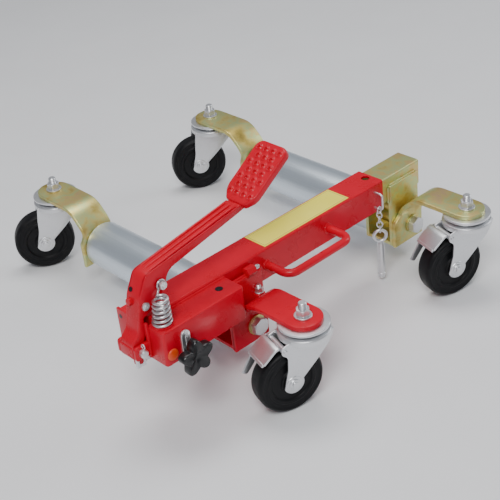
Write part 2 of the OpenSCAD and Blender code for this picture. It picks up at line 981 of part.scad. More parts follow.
// Pad in its own frame: x along the pad from its lower end, z up out of the tread
module foot_pad() {
    t = 3;
    rim = 7;
    half = pad_w / 2;
    outline = [[0, -17], [0, 17], [16, half], [pad_len - 7, half], [pad_len, half - 7],
               [pad_len, -half + 7], [pad_len - 7, -half], [14, -half]];
    inner = [[-1, -14], [-1, 14], [16, half - t], [pad_len - 8, half - t], [pad_len - t, half - 8],
             [pad_len - t, -half + 8], [pad_len - 8, -half + t], [14, -half + t]];
    mid_y = (lever_y0 + lever_y1) / 2;
    color(red) {
        // neck between the lever's end and the pad's underside
        block([left_x + 2, left_x + 14], [mid_y - 12, mid_y + 12], [249, 259]);
        translate([left_x + 5.5, mid_y, 258])
            rotate([0, -pad_slope, 0])
                difference() {
                    union() {
                        translate([0, 0, -rim])
                            linear_extrude(rim + t)
                                polygon(outline);
                        for (i = [1 : 7])
                            for (j = [0 : 2 + (i % 2)])
                                translate([2 + 12 * i, (j - (2 + (i % 2)) / 2) * 13, t - 0.5])
                                    cylinder(r = 3.6, h = 2, $fn = 24);
                    }
                    translate([0, 0, -rim - 1])
                        linear_extrude(rim + 1)
                            polygon(inner);
                    for (i = [1 : 7])
                        for (j = [0 : 2 + (i % 2)])
                            translate([2 + 12 * i, (j - (2 + (i % 2)) / 2) * 13, -1])
                                cylinder(r = 2.2, h = 8, $fn = 24);
                }
    }
}

module pivot_pin() {
    color(zinc)
        difference() {
            rod_y(piv_x, pivot_z, [lever_y0 - 13, lever_y1 + 9], pivot_d / 2);
            translate([piv_x, lever_y0 - 10, pivot_z])
                cylinder(r = 1.7, h = 30, center = true);
        }
}

module cotter_pin() {
    color(zinc)
        translate([piv_x, lever_y0 - 10, pivot_z]) {
            translate([0, 0, -9])
                cylinder(r = 1.4, h = 18);
            translate([0, 0, 11.5])
                rotate([90, 0, 90])
                    rotate_extrude()
                        translate([3, 0])
                            circle(r = 1.1, $fn = 24);
        }
}

// Disc under the spring on the top of the housing
module spring_seat() {
    color(red)
        translate([spring_x, spring_y, house_z1])
            cylinder(r = spring_r + spring_wire + 0.6, h = seat_z - house_z1);
}

// Coils stacked as rings joined by short risers, narrower toward the top
module return_spring() {
    coils = 6;
    pitch = (spring_h - 2 * spring_wire) / (coils - 1);
    color(zinc)
        for (i = [0 : coils - 1])
            translate([spring_x, spring_y, seat_z + spring_wire + 0.1 + i * pitch])
                rotate_extrude()
                    translate([spring_r - 0.6 * i, 0])
                        circle(r = spring_wire, $fn = 24);
}

// ---- lock pin on its chain ----

module pin_chain() {
    color(zinc)
        for (i = [0 : links - 1])
            translate([eye_x, chain_y, link_top - i * link_step])
                rotate([90, 0, i * (90 + link_twist)])
                    rotate_extrude()
                        translate([link_r, 0])
                            circle(r = link_wire, $fn = 16);
}

module lock_pin() {
    color(zinc)
        translate([eye_x, chain_y, ring_z]) {
            rotate([90, 0, (links - 1) * link_twist - 90])
                rotate_extrude()
                    translate([ring_r, 0])
                        circle(r = ring_wire, $fn = 32);
            translate([0, 0, -ring_r - ring_wire + 2 - pin_len])
                cylinder(r = pin_d / 2, h = pin_len);
        }
}

outer_tube();
tube_end_plate();
left_saddle();
front_left_arm();
rear_left_arm();
carry_handle();
label_plate();
ratchet_housing();
housing_plug();
release_tab();
knob_stud();
star_knob();
push_rod();
ratchet_pawl();
pawl_pin();
stop_pin();
arm_bolt();
chain_eye();
spring_seat();
pivot_pin();
cotter_pin();
left_axle_bolt();
left_axle_washers();
left_axle_nut();
left_caster_stems();
left_caster_races();
inner_tube();
right_saddle();
front_right_arm();
rear_right_arm();
right_axle_bolt();
right_axle_washers();
right_axle_nut();
right_caster_stems();
right_caster_races();
left_roller();
left_roller_bearings();
right_roller();
right_roller_bearings();
fl_fork();
fl_wheel();
fl_spindle();
fl_brake();
fr_fork();
fr_wheel();
fr_spindle();
fr_brake();
rl_fork();
rl_wheel();
rl_spindle();
rr_fork();
rr_wheel();
rr_spindle();
pedal_lever();
foot_pad();
hook_bolts();
return_spring();
pin_chain();
lock_pin();
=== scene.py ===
"""Looks of a self-loading wheel dolly: bent and welded steel, rollers, casters, a pedal with its
ratchet housing and spring, and a lock pin on a chain. Sizes in millimetres come from the frame."""
import json
import math

import bmesh
import bpy
import numpy as np
from mathutils import Matrix, Vector


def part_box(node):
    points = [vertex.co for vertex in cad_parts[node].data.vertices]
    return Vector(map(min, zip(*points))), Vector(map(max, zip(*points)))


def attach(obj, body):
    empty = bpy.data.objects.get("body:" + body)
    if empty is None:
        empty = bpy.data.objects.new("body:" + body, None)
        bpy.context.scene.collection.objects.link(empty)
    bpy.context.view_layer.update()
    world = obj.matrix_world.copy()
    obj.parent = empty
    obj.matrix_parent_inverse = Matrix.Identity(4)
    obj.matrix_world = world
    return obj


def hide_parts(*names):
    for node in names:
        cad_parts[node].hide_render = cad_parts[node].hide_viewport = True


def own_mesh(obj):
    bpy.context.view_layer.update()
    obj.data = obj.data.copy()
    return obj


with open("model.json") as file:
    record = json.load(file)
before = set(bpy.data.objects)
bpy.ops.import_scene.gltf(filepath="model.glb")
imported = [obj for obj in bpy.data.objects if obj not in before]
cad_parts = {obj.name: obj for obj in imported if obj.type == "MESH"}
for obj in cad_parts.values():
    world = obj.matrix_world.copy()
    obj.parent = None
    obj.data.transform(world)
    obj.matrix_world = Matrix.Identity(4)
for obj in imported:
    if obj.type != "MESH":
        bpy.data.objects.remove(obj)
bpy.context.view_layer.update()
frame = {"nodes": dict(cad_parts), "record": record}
MM = 0.001
TAU = 2 * math.pi

# ---------------------------------------------------------------- places taken from the frame


def low(node):
    """Lowest corner of a CAD node in millimetres."""
    return np.array(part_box(node)[0]) / MM


def high(node):
    """Highest corner of a CAD node in millimetres."""
    return np.array(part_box(node)[1]) / MM


def centre(node):
    """Middle of a CAD node's box in millimetres."""
    return (low(node) + high(node)) / 2


joints = {j["name"]: j for j in frame["record"]["behaviour"]["joints"]}


def joint_place(name):
    """A joint's point in millimetres."""
    return np.array(joints[name]["pos_m"]) / MM


left_axle = centre("left_roller")
right_axle = centre("right_roller")
tube_low = low("outer_tube")
tube_high = high("outer_tube")
tube_y = (tube_low[1] + tube_high[1]) / 2
tube_z = (tube_low[2] + tube_high[2]) / 2
tube_half = (tube_high[2] - tube_low[2]) / 2
tube_front = tube_y - tube_half
pivot = joint_place("pedal_hinge")
left_x = left_axle[0]
roller_r = (high("left_roller")[2] - low("left_roller")[2]) / 2
roller_wall = 4.0
axle_r = 8.0
plate_t = 6.0
arm_t = 7.0
flange_left = 41.0
flange_right = 24.0
wheel_r = 50.0
trail = 32.0
fork_face = 20.5
race_h = 9.0
arm_under = low("left_caster_races")[2] + race_h
arm_top = arm_under + arm_t

# ---------------------------------------------------------------- outlines and paths


def rounded(points, radius, steps=6, closed=True):
    """Corner points turned into an outline: each corner is a quadratic curve whose ends lie at
    most radius along the two sides, so straight runs stay straight."""
    p = np.asarray(points, float)
    r = np.broadcast_to(np.asarray(radius, float), len(p))[:, None]
    before = np.roll(p, 1, axis=0) - p
    after = np.roll(p, -1, axis=0) - p
    len_b = np.linalg.norm(before, axis=1, keepdims=True)
    len_a = np.linalg.norm(after, axis=1, keepdims=True)
    a = p + before / len_b * np.minimum(r, len_b * 0.49)
    b = p + after / len_a * np.minimum(r, len_a * 0.49)
    t = np.linspace(0, 1, steps)[None, :, None]
    curve = (1 - t) ** 2 * a[:, None] + 2 * t * (1 - t) * p[:, None] + t ** 2 * b[:, None]
    if closed:
        return curve.reshape(-1, p.shape[1])
    middle = curve[1:-1].reshape(-1, p.shape[1])
    return np.vstack([p[:1], middle, p[-1:]])


def side_normals(outline):
    """Unit normals of a closed outline, pointing outward for a counter-clockwise one."""
    ahead = np.roll(outline, -1, axis=0) - outline
    ahead /= np.maximum(np.linalg.norm(ahead, axis=1, keepdims=True), 1e-9)
    tangent = ahead + np.roll(ahead, 1, axis=0)
    tangent /= np.maximum(np.linalg.norm(tangent, axis=1, keepdims=True), 1e-9)
    return np.stack([tangent[:, 1], -tangent[:, 0]], axis=1)


def counter_clockwise(outline):
    """The outline, turned round if its signed area is negative."""
    x, y = outline[:, 0], outline[:, 1]
    area = np.sum(x * np.roll(y, -1) - y * np.roll(x, -1))
    return outline if area > 0 else outline[::-1]


def tidy_outline(outline):
    """The outline without points closer together than a hundredth of a millimetre."""
    step = np.linalg.norm(np.roll(outline, -1, axis=0) - outline, axis=1)
    return outline[step > 0.01]


# ---------------------------------------------------------------- surfaces
# A part is (vertices, quads, caps): an (n, 3) array in millimetres, an (m, 4) array, and loops.


def loft(rings, close_rows=False, caps=True):
    """Closed rings of points, one row per ring, joined row to row by quads. The first and last
    rings are filled with flat caps, or joined to each other when close_rows is set."""
    rings = np.asarray(rings, float)
    rows, cols = rings.shape[:2]
    index = np.arange(rows * cols).reshape(rows, cols)
    top = np.roll(index, -1, axis=0) if close_rows else index[1:]
    base = index if close_rows else index[:-1]
    quads = np.stack([base, np.roll(base, -1, axis=1), np.roll(top, -1, axis=1), top], axis=-1)
    ends = [] if close_rows or not caps else [index[0][::-1].tolist(), index[-1].tolist()]
    return rings.reshape(-1, 3), quads.reshape(-1, 4), ends


def slab(outline, t0, t1, edge=1.0, steps=4):
    """An outline in (a, b) given thickness along c from t0 to t1, in the order (a, b, c). Each
    edge is a quarter circle: the ring at angle q is inset by edge * (1 - sin q)."""
    outline = counter_clockwise(tidy_outline(np.asarray(outline, float)))
    normal = side_normals(outline)
    q = np.linspace(0, math.pi / 2, steps)
    inset = np.concatenate([edge * (1 - np.sin(q)), edge * (1 - np.sin(q))[::-1]])
    depth = np.concatenate([t0 + edge * (1 - np.cos(q)), t1 - edge * (1 - np.cos(q))[::-1]])
    flat = outline[None] - normal[None] * inset[:, None, None]
    tall = np.broadcast_to(depth[:, None, None], flat.shape[:2] + (1,))
    return loft(np.concatenate([flat, tall], axis=2))


def lathe(profile, steps=64, close_rows=False):
    """A profile of (radius, height) turned about the third axis."""
    profile = np.asarray(profile, float)
    angle = np.linspace(0, TAU, steps, endpoint=False)
    circle = np.stack([np.cos(angle), np.sin(angle)], axis=1)
    flat = profile[:, None, :1] * circle[None]
    tall = np.broadcast_to(profile[:, None, 1:], flat.shape[:2] + (1,))
    return loft(np.concatenate([flat, tall], axis=2), close_rows)


def sweep(path, radius, steps=12, closed=False):
    """A round section carried along a path. The section's axes come from the path's tangent and
    its direction away from a fixed slanted vector, so they never flip on these paths."""
    path = np.asarray(path, float)
    if closed:
        tangent = np.roll(path, -1, axis=0) - np.roll(path, 1, axis=0)
    else:
        tangent = np.gradient(path, axis=0)
    tangent /= np.linalg.norm(tangent, axis=1, keepdims=True)
    slant = np.array([0.31, 0.23, 0.92]) if np.ptp(path[:, 2]) < np.ptp(path[:, 0]) \
        else np.array([0.25, 0.93, 0.28])
    a = np.cross(tangent, slant)
    a /= np.linalg.norm(a, axis=1, keepdims=True)
    b = np.cross(tangent, a)
    angle = np.linspace(0, TAU, steps, endpoint=False)
    radius = np.broadcast_to(np.asarray(radius, float), len(path))[:, None, None]
    rings = path[:, None] + radius * (np.cos(angle)[None, :, None] * a[:, None]
                                      + np.sin(angle)[None, :, None] * b[:, None])
    return loft(rings, close_rows=closed)


def bolt_shape(flats, height, chamfer=1.2, steps=72):
    """A hexagon with turned chamfers: the radius is the smaller of the hexagon's and of a turned
    one that closes toward each end. Stands from height 0."""
    angle = np.linspace(0, TAU, steps, endpoint=False)
    hexagon = flats / 2 / np.cos((angle + math.pi / 6) % (math.pi / 3) - math.pi / 6)
    heights = np.array([0, chamfer * 0.4, chamfer, height - chamfer, height - chamfer * 0.4, height])
    past_flats = flats * 0.078
    turned = flats / 2 + np.array([0, 0.6, 1, 1, 0.6, 0]) * past_flats
    radius = np.minimum(hexagon[None], turned[:, None])
    rings = np.stack([radius * np.cos(angle), radius * np.sin(angle),
                      np.broadcast_to(heights[:, None], radius.shape)], axis=2)
    return loft(rings)


def thread(radius, height, pitch=1.6):
    """A threaded rod from height 0: the radius falls by a sine each pitch, and the end is
    chamfered."""
    depth, chamfer = 0.5, 1.2
    h = np.linspace(0, height, int(height / pitch * 6) + 2)
    r = radius - depth * (0.5 - 0.5 * np.cos(TAU * h / pitch))
    r = np.minimum(r, radius - chamfer + (height - h))
    return lathe(np.stack([r, h], axis=1), 32)


def ring_disc(inner, outer, t, edge=0.6):
    """A washer of thickness t with soft edges, standing from height 0."""
    return lathe(rounded([[inner, 0], [outer, 0], [outer, t], [inner, t]], edge, 4), 48, True)


def weld(path, radius=2.2, pitch=2.6):
    """A weld bead: a swept section whose radius swells once each pitch along the path."""
    path = np.asarray(path, float)
    step = np.linalg.norm(np.diff(path, axis=0), axis=1)
    length = step.sum()
    s = np.concatenate([[0], np.cumsum(step)])
    even = np.arange(0, length, pitch / 5)
    smooth = np.stack([np.interp(even, s, path[:, k]) for k in range(3)], axis=1)
    swell = radius * (0.86 + 0.14 * np.abs(np.sin(math.pi * even / pitch)))
    return sweep(smooth, swell, 10)


def moved(part, matrix=None, shift=(0, 0, 0)):
    """A part turned by a matrix, then shifted."""
    points, quads, ends = part
    if matrix is not None:
        points = points @ np.asarray(matrix, float).T
    return points + np.asarray(shift, float), quads, ends


def turned_round(part):
    """A part with every face turned round."""
    points, quads, ends = part
    return points, quads[:, ::-1], [loop[::-1] for loop in ends]


def turn_z(degrees):
    """Rotation about Z."""
    return np.array(Matrix.Rotation(math.radians(degrees), 3, "Z"))


def turn_y(degrees):
    """Rotation about Y."""
    return np.array(Matrix.Rotation(math.radians(degrees), 3, "Y"))


def along_y(part, x, y, z):
    """A part that stands on height 0, laid down so that its height runs toward -Y from the
    point (x, y, z)."""
    return moved(part, [[1, 0, 0], [0, 0, -1], [0, 1, 0]], shift=(x, y, z))


def along_y_back(part, x, y, z):
    """The same, with its height toward +Y."""
    return moved(part, [[-1, 0, 0], [0, 0, 1], [0, 1, 0]], shift=(x, y, z))


def xz_slab(outline, y0, y1, edge=1.0):
    """A slab whose outline lies in XZ, from y0 to y1."""
    points, quads, ends = turned_round(slab(outline, y0, y1, edge))
    return points[:, [0, 2, 1]], quads, ends


def piece(name, parts, body, material, replaces=(), sharp=32):
    """One object from a list of parts, in metres at the origin, riding on a body."""
    count = 0
    points, faces = [], []
    for p, quads, ends in parts:
        points.append(p * MM)
        faces += (quads + count).tolist()
        faces += [[i + count for i in loop] for loop in ends]
        count += len(p)
    mesh = bpy.data.meshes.new(name)
    mesh.from_pydata(np.vstack(points).tolist(), [], faces)
    mesh.validate()
    shell = bmesh.new()
    shell.from_mesh(mesh)
    bmesh.ops.recalc_face_normals(shell, faces=shell.faces)
    shell.to_mesh(mesh)
    shell.free()
    mesh.polygons.foreach_set("use_smooth", [True] * len(mesh.polygons))
    mesh.set_sharp_from_angle(angle=math.radians(sharp))
    mesh.materials.append(material)
    obj = bpy.data.objects.new(name, mesh)
    bpy.context.scene.collection.objects.link(obj)
    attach(obj, body)
    if replaces:
        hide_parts(*replaces)
    return obj


# ---------------------------------------------------------------- materials


class Wire:
    """A node socket in a shader expression: the operators add Math nodes."""

    def __init__(self, shop, socket):
        self.shop = shop
        self.socket = socket

    def maths(self, operation, *values, clamp=False):
        """A Math node on the given values."""
        return self.shop.node("ShaderNodeMath", {"operation": operation, "use_clamp": clamp},
                              dict(enumerate(values)))

    def __add__(self, other):
        return self.maths("ADD", self, other)

    def __radd__(self, other):
        return self.maths("ADD", other, self)

    def __sub__(self, other):
        return self.maths("SUBTRACT", self, other)

    def __rsub__(self, other):
        return self.maths("SUBTRACT", other, self)

    def __mul__(self, other):
        return self.maths("MULTIPLY", self, other)

    def __rmul__(self, other):
        return self.maths("MULTIPLY", other, self)

    def distance_from(self, value):
        """How far the value is from another, without its sign."""
        return self.maths("ABSOLUTE", self - value)

    def least(self, other):
        """The smaller of two values."""
        return self.maths("MINIMUM", self, other)

    def clamped(self):
        """The value kept between 0 and 1."""
        return self.maths("ADD", self, 0.0, clamp=True)

    def band(self, start, end):
        """0 below start, 1 above end, smooth between."""
        return self.shop.node("ShaderNodeMapRange", {"interpolation_type": "SMOOTHSTEP"},
                              {"Value": self, "From Min": start, "From Max": end})

    def out(self, name):
        """Another output of the same node."""
        return Wire(self.shop, self.socket.node.outputs[name])


class Shop:
    """Builds one material's node tree."""

    def __init__(self, name):
        self.material = bpy.data.materials.new(name)
        self.material.use_nodes = True
        self.tree = self.material.node_tree
        self.tree.nodes.clear()

    def node(self, kind, settings=None, inputs=None, output=0):
        """Any node: its settings are set first, then its sockets get values or links."""
        new = self.tree.nodes.new(kind)
        for key, value in (settings or {}).items():
            if key == "stops":
                self.stops(new.color_ramp, value)
            else:
                setattr(new, key, value)
        for key, value in (inputs or {}).items():
            socket = new.inputs[key]
            if isinstance(value, Wire):
                self.tree.links.new(value.socket, socket)
            else:
                socket.default_value = value
        return Wire(self, new.outputs[output])

    def stops(self, ramp, stops):
        """Places and colours put on a colour ramp."""
        while len(ramp.elements) < len(stops):
            ramp.elements.new(0.5)
        for element, (place, colour) in zip(ramp.elements, stops):
            element.position = place
            element.color = (*colour, 1)

    def place(self):
        """The point on the object in metres."""
        return self.node("ShaderNodeTexCoord", output="Object")

    def stretched(self, scale):
        """Object coordinates scaled along each axis."""
        return self.node("ShaderNodeMapping", {}, {"Vector": self.place(), "Scale": scale})

    def noise(self, scale, detail=3.0, vector=None, rough=0.5):
        """Layered noise, on the object's own point unless a vector is given."""
        return self.node("ShaderNodeTexNoise", {},
                         {"Vector": vector or self.place(), "Scale": scale, "Detail": detail,
                          "Roughness": rough})

    def cells(self, scale):
        """Distance to the nearest of scattered points."""
        return self.node("ShaderNodeTexVoronoi", {}, {"Vector": self.place(), "Scale": scale})

    def mix(self, factor, a, b):
        """Colours mixed by a factor."""
        return self.node("ShaderNodeMix", {"data_type": "RGBA"},
                         {0: factor, 6: a if isinstance(a, Wire) else (*a, 1),
                          7: b if isinstance(b, Wire) else (*b, 1)}, output=2)

    def ramp(self, value, stops):
        """A value turned into a colour through stops."""
        return self.node("ShaderNodeValToRGB", {"stops": stops}, {"Fac": value})

    def bump(self, height, strength, distance):
        """Normals tilted by a height."""
        return self.node("ShaderNodeBump", {},
                         {"Height": height, "Strength": strength, "Distance": distance})

    def finish(self, **inputs):
        """The surface shader; keys are socket names with _ for a space."""
        values = {key.replace("_", " "): value for key, value in inputs.items()}
        surface = self.node("ShaderNodeBsdfPrincipled", {}, values)
        material_out = self.tree.nodes.new("ShaderNodeOutputMaterial")
        self.tree.links.new(surface.socket, material_out.inputs["Surface"])
        return self.material


def red_paint():
    """Gloss powder coat: orange-peel ripple, faint flow marks, dust and hairline scratches."""
    s = Shop("red_powder_coat")
    flow = s.noise(26.0, 3.0)
    peel = s.noise(950.0, 2.0)
    grain = s.noise(3200.0, 1.0)
    scratch = s.noise(60.0, 2.0, s.stretched((1.0, 9.0, 40.0))).band(0.66, 0.70)
    dust = (s.noise(120.0, 5.0, rough=0.7).band(0.52, 0.78)) * flow
    colour = s.mix(flow, (0.50, 0.0, 0.010), (0.66, 0.0, 0.024))
    colour = s.mix(dust * 0.05, colour, (0.60, 0.20, 0.20))
    rough = 0.24 + flow * 0.08 + dust * 0.22 + scratch * 0.08
    height = peel + grain * 0.2 + flow * 0.6
    return s.finish(Base_Color=colour, Roughness=rough, Metallic=0.0, Coat_Weight=0.06,
                    Coat_Roughness=0.07, Specular_IOR_Level=0.24, Normal=s.bump(height, 0.16, 0.0003))


def yellow_zinc():
    """Yellow-passivated zinc: drifting gold, green and pink films over faintly brushed steel."""
    s = Shop("yellow_zinc_plate")
    drift = s.noise(17.0, 3.0, rough=0.6)
    patch = s.noise(46.0, 4.0, s.stretched((1.0, 0.6, 1.4)), rough=0.62)
    brushed = s.noise(900.0, 2.0, s.stretched((0.04, 1.0, 1.0)))
    film = (drift * 0.65 + patch * 0.45).clamped()
    colour = s.ramp(film, [(0.30, (0.32, 0.22, 0.06)), (0.42, (0.58, 0.44, 0.11)),
                           (0.50, (0.70, 0.59, 0.21)), (0.57, (0.56, 0.62, 0.28)),
                           (0.63, (0.70, 0.55, 0.21)), (0.72, (0.66, 0.45, 0.26))])
    stain = s.noise(210.0, 5.0, rough=0.7).band(0.60, 0.80)
    colour = s.mix(stain * 0.35, colour, (0.36, 0.27, 0.15))
    rough = 0.30 + patch * 0.16 + brushed * 0.08 + stain * 0.14
    height = brushed * 0.5 + s.noise(1400.0, 2.0)
    return s.finish(Base_Color=colour, Roughness=rough, Metallic=0.88,
                    Normal=s.bump(height, 0.14, 0.00025))


def bright_zinc(name="bright_zinc_plate", light=0.74, rough_base=0.30):
    """Bright zinc: mottled grey with small crystals and handling marks."""
    s = Shop(name)
    mottle = s.noise(90.0, 4.0, rough=0.6)
    crystals = s.cells(420.0)
    marks = s.noise(260.0, 5.0, rough=0.7).band(0.58, 0.76)
    bright = 0.80 + mottle * 0.25 + crystals * 0.10
    colour = s.mix(bright.clamped(), (light * 0.62, light * 0.64, light * 0.68),
                   (light, light * 1.01, light * 1.03))
    colour = s.mix(marks * 0.30, colour, (0.30, 0.29, 0.27))
    rough = rough_base + mottle * 0.16 + marks * 0.12
    height = crystals * 0.3 + s.noise(1500.0, 2.0)
    return s.finish(Base_Color=colour, Roughness=rough, Metallic=0.92,
                    Normal=s.bump(height, 0.12, 0.00022))


def roller_aluminium():
    """Drawn tube: fine die lines along its length, with a few long scuffs."""
    s = Shop("roller_drawn_aluminium")
    lines = s.noise(1.0, 3.0, s.stretched((900.0, 3.0, 900.0)), rough=0.6)
    broad = s.noise(1.0, 2.0, s.stretched((150.0, 1.5, 150.0)))
    cloud = s.noise(18.0, 3.0)
    scuff = s.noise(1.0, 4.0, s.stretched((420.0, 30.0, 420.0)), rough=0.7).band(0.63, 0.72)
    tone = (lines * 0.45 + broad * 0.35 + cloud * 0.3).clamped()
    colour = s.mix(tone, (0.50, 0.58, 0.66), (0.86, 0.93, 0.98))
    colour = s.mix(scuff * 0.35, colour, (0.38, 0.42, 0.46))
    rough = 0.26 + lines * 0.18 + scuff * 0.15
    return s.finish(Base_Color=colour, Roughness=rough, Metallic=0.85,
                    Normal=s.bump(lines + scuff * 0.4, 0.22, 0.0003))


def tread_rubber():
    """Hard black tyre: fine grain, grey dust in the mould marks."""
    s = Shop("black_tread_rubber")
    grain = s.noise(1500.0, 3.0)
    dust = s.noise(75.0, 5.0, rough=0.7).band(0.46, 0.80)
    colour = s.mix(dust * 0.4, (0.004, 0.004, 0.005), (0.028, 0.027, 0.026))
    rough = 0.42 + dust * 0.25 + grain * 0.08
    return s.finish(Base_Color=colour, Roughness=rough, Specular_IOR_Level=0.22,
                    Normal=s.bump(grain + dust, 0.25, 0.0003))


def moulded_black():
    """Black moulded plastic with a fine spark-eroded grain. The same black is also used as painted
    shade on the thin discs that stand in for holes.
    """
    s = Shop("moulded_black_plastic_and_painted_shade")
    grain = s.noise(2200.0, 3.0)
    wear = s.noise(60.0, 4.0, rough=0.65).band(0.5, 0.8)
    colour = s.mix(wear * 0.3, (0.005, 0.005, 0.006), (0.026, 0.026, 0.030))
    return s.finish(Base_Color=colour, Roughness=0.26 + wear * 0.2 + grain * 0.05,
                    Normal=s.bump(grain, 0.25, 0.0002))


def orange_plug_plastic():
    """Orange-red soft plastic, slightly mottled."""
    s = Shop("orange_plug_plastic")
    mottle = s.noise(300.0, 3.0)
    colour = s.mix(mottle, (0.70, 0.045, 0.006), (0.85, 0.10, 0.015))
    return s.finish(Base_Color=colour, Roughness=0.35 + mottle * 0.15,
                    Normal=s.bump(mottle, 0.15, 0.0003))


def label_film():
    """Blank pale yellow film with a thin printed border and rubbed patches."""
    s = Shop("label_film")
    lo, hi = low("label_plate") * MM, high("label_plate") * MM
    place = s.node("ShaderNodeSeparateXYZ", {}, {"Vector": s.place()})
    x, y = place.out("X"), place.out("Y")
    middle = (lo + hi) / 2
    half = (hi - lo) / 2
    edge = (half[0] - x.distance_from(middle[0])).least(half[1] - y.distance_from(middle[1]))
    border = edge.band(0.0022, 0.0024) * (1 - edge.band(0.0031, 0.0033))
    rub = s.noise(110.0, 5.0, rough=0.7).band(0.55, 0.8)
    fade = s.noise(22.0, 2.0)
    colour = s.mix(fade, (0.86, 0.75, 0.06), (0.93, 0.84, 0.13))
    colour = s.mix(border * 0.8, colour, (0.42, 0.30, 0.10))
    colour = s.mix(rub * 0.15, colour, (0.95, 0.92, 0.70))
    return s.finish(Base_Color=colour, Roughness=0.30 + rub * 0.25, Specular_IOR_Level=0.25,
                    Normal=s.bump(s.noise(700.0, 2.0), 0.06, 0.0002))


RED = red_paint()
GOLD = yellow_zinc()
ZINC = bright_zinc()
SPRING_STEEL = bright_zinc("bright_spring_wire", 0.62, 0.24)
ALUMINIUM = roller_aluminium()
RUBBER = tread_rubber()
BLACK_PLASTIC_AND_SHADE = moulded_black()
ORANGE = orange_plug_plastic()
LABEL = label_film()
SLOT_MATERIAL = {"red_paint": RED, "yellow_zinc": GOLD, "bright_zinc": ZINC,
                 "roller_aluminium": ALUMINIUM, "black_rubber": RUBBER, "black_plastic": BLACK_PLASTIC_AND_SHADE,
                 "label_film": LABEL, "orange_plastic": ORANGE}

for subpart in frame["record"]["subparts"]:
    mesh = frame["nodes"][subpart["node"]].data
    mesh.materials.clear()
    mesh.materials.append(SLOT_MATERIAL[subpart["material_slot"]])

# ---------------------------------------------------------------- rollers and axles


def roller(name, body):
    """Tube with softened rims: a closed profile turned about the axle."""
    y0, y1 = low(name)[1], high(name)[1]
    c = centre(name)
    bore = roller_r - roller_wall
    length = y1 - y0
    profile = rounded([[roller_r, 0], [roller_r, length], [bore, length], [bore, 0]], 0.9, 5)
    part = along_y_back(lathe(profile, 128, True), c[0], y0, c[2])
    piece(name + "_tube", [part], body, ALUMINIUM, [name])


def bearing_plugs(name, roller_name, body):
    """Turned end plugs: hub, recess and rim drawn as one closed profile."""
    y0, y1 = low(roller_name)[1] + 0.5, high(roller_name)[1] - 0.5
    c = centre(roller_name)
    outer, bore, deep = roller_r - roller_wall - 0.05, axle_r + 0.05, 22.0
    profile = rounded([[bore, 0], [15, 0], [15.5, 3], [22, 3.5], [22.6, 0.8], [outer, 0.4],
                       [outer, deep], [bore, deep]], 0.8, 4)
    front = along_y_back(lathe(profile, 96, True), c[0], y0, c[2])
    rear = along_y(lathe(profile, 96, True), c[0], y1, c[2])
    piece(name + "_turned", [front, rear], body, BLACK_PLASTIC_AND_SHADE, [name])


def axle_fittings(side, body):
    """Axle bolt with a chamfered head and threaded end, its washers and its nut."""
    c = centre(side + "_roller")
    bolt, washers, nut = (side + tail for tail in ("_axle_bolt", "_axle_washers", "_axle_nut"))
    head_y = low(washers)[1]
    rear_y = high(washers)[1]
    flats = high(bolt)[0] - low(bolt)[0]
    shaft = along_y_back(lathe([[axle_r, 0], [axle_r, rear_y - head_y]], 40), c[0], head_y, c[2])
    head = along_y(bolt_shape(flats, head_y - low(bolt)[1]), c[0], head_y, c[2])
    end = along_y_back(thread(axle_r, high(bolt)[1] - rear_y, 2.0), c[0], rear_y, c[2])
    piece(bolt + "_turned", [shaft, head, end], body, ZINC, [bolt])
    t = 2.5
    discs = [along_y_back(ring_disc(axle_r + 0.2, axle_r * 1.9, t), c[0], y, c[2])
             for y in (head_y, rear_y - t)]
    piece(washers + "_pressed", discs, body, GOLD, [washers])
    height = high(nut)[1] - low(nut)[1]
    piece(nut + "_chamfered", [along_y_back(bolt_shape(flats, height), c[0], low(nut)[1], c[2])],
          body, ZINC, [nut])


roller("left_roller", "left_roller_spin")
roller("right_roller", "right_roller_spin")
bearing_plugs("left_roller_bearings", "left_roller", "left_roller_spin")
bearing_plugs("right_roller_bearings", "right_roller", "right_roller_spin")
axle_fittings("left", "frame")
axle_fittings("right", "slide")

# ---------------------------------------------------------------- saddles and welds


def saddle(name, axle, body, material):
    """Two side plates, a floor and two cross tubes, with weld beads along the tube. The left one
    also has the stop pin's hexagon boss."""
    plate_top = 152.0
    lo, hi = low(name), high(name)
    half = (hi[1] - lo[1]) / 2
    x0, x1 = axle[0] - flange_left, axle[0] + flange_right
    z0, z1 = lo[2], min(hi[2], plate_top)
    outline = rounded([[x0, z0], [x1, z0], [x1, z1], [x0, z1]], 3.0, 5)
    parts = []
    for y in (tube_y - half, tube_y + half - plate_t):
        parts.append(xz_slab(outline, y, y + plate_t, 1.1))
    floor = rounded([[x0 + 2, -half + 1], [x1, -half + 1], [x1, half - 1], [x0 + 2, half - 1]], 2, 3)
    parts.append(moved(slab(floor, z0, z0 + plate_t, 1.0), shift=(0, tube_y, 0)))
    for x, z, r in ((axle[0], axle[2], axle_r + 4.5), (axle[0] - 14, axle[2] + 28, 8.0)):
        profile = [[r, 0], [r, 2 * half - 2]]
        parts.append(along_y_back(lathe(profile, 40), x, tube_y - half + 1, z))
    for side in (-1, 1):
        y = tube_y + side * half - side * plate_t + side * 1.2
        parts.append(weld([[x0 + 2, y, z1 + 0.4], [x1 - 2, y, z1 + 0.4]]))
        parts.append(weld([[x0 - 0.5, y, tube_low[2] + 3], [x0 - 0.5, y, z1 - 2]]))
    if name == "left_saddle":
        boss = bolt_shape(13.8, 16, 0.8)
        parts.append(moved(boss, turn_y(90), shift=(axle[0] - 4, tube_front - 7, tube_z + 11)))
    piece(name + "_plates", parts, body, material, [name])


saddle("left_saddle", left_axle, "frame", RED)
saddle("right_saddle", right_axle, "slide", GOLD)

# ---------------------------------------------------------------- caster arms


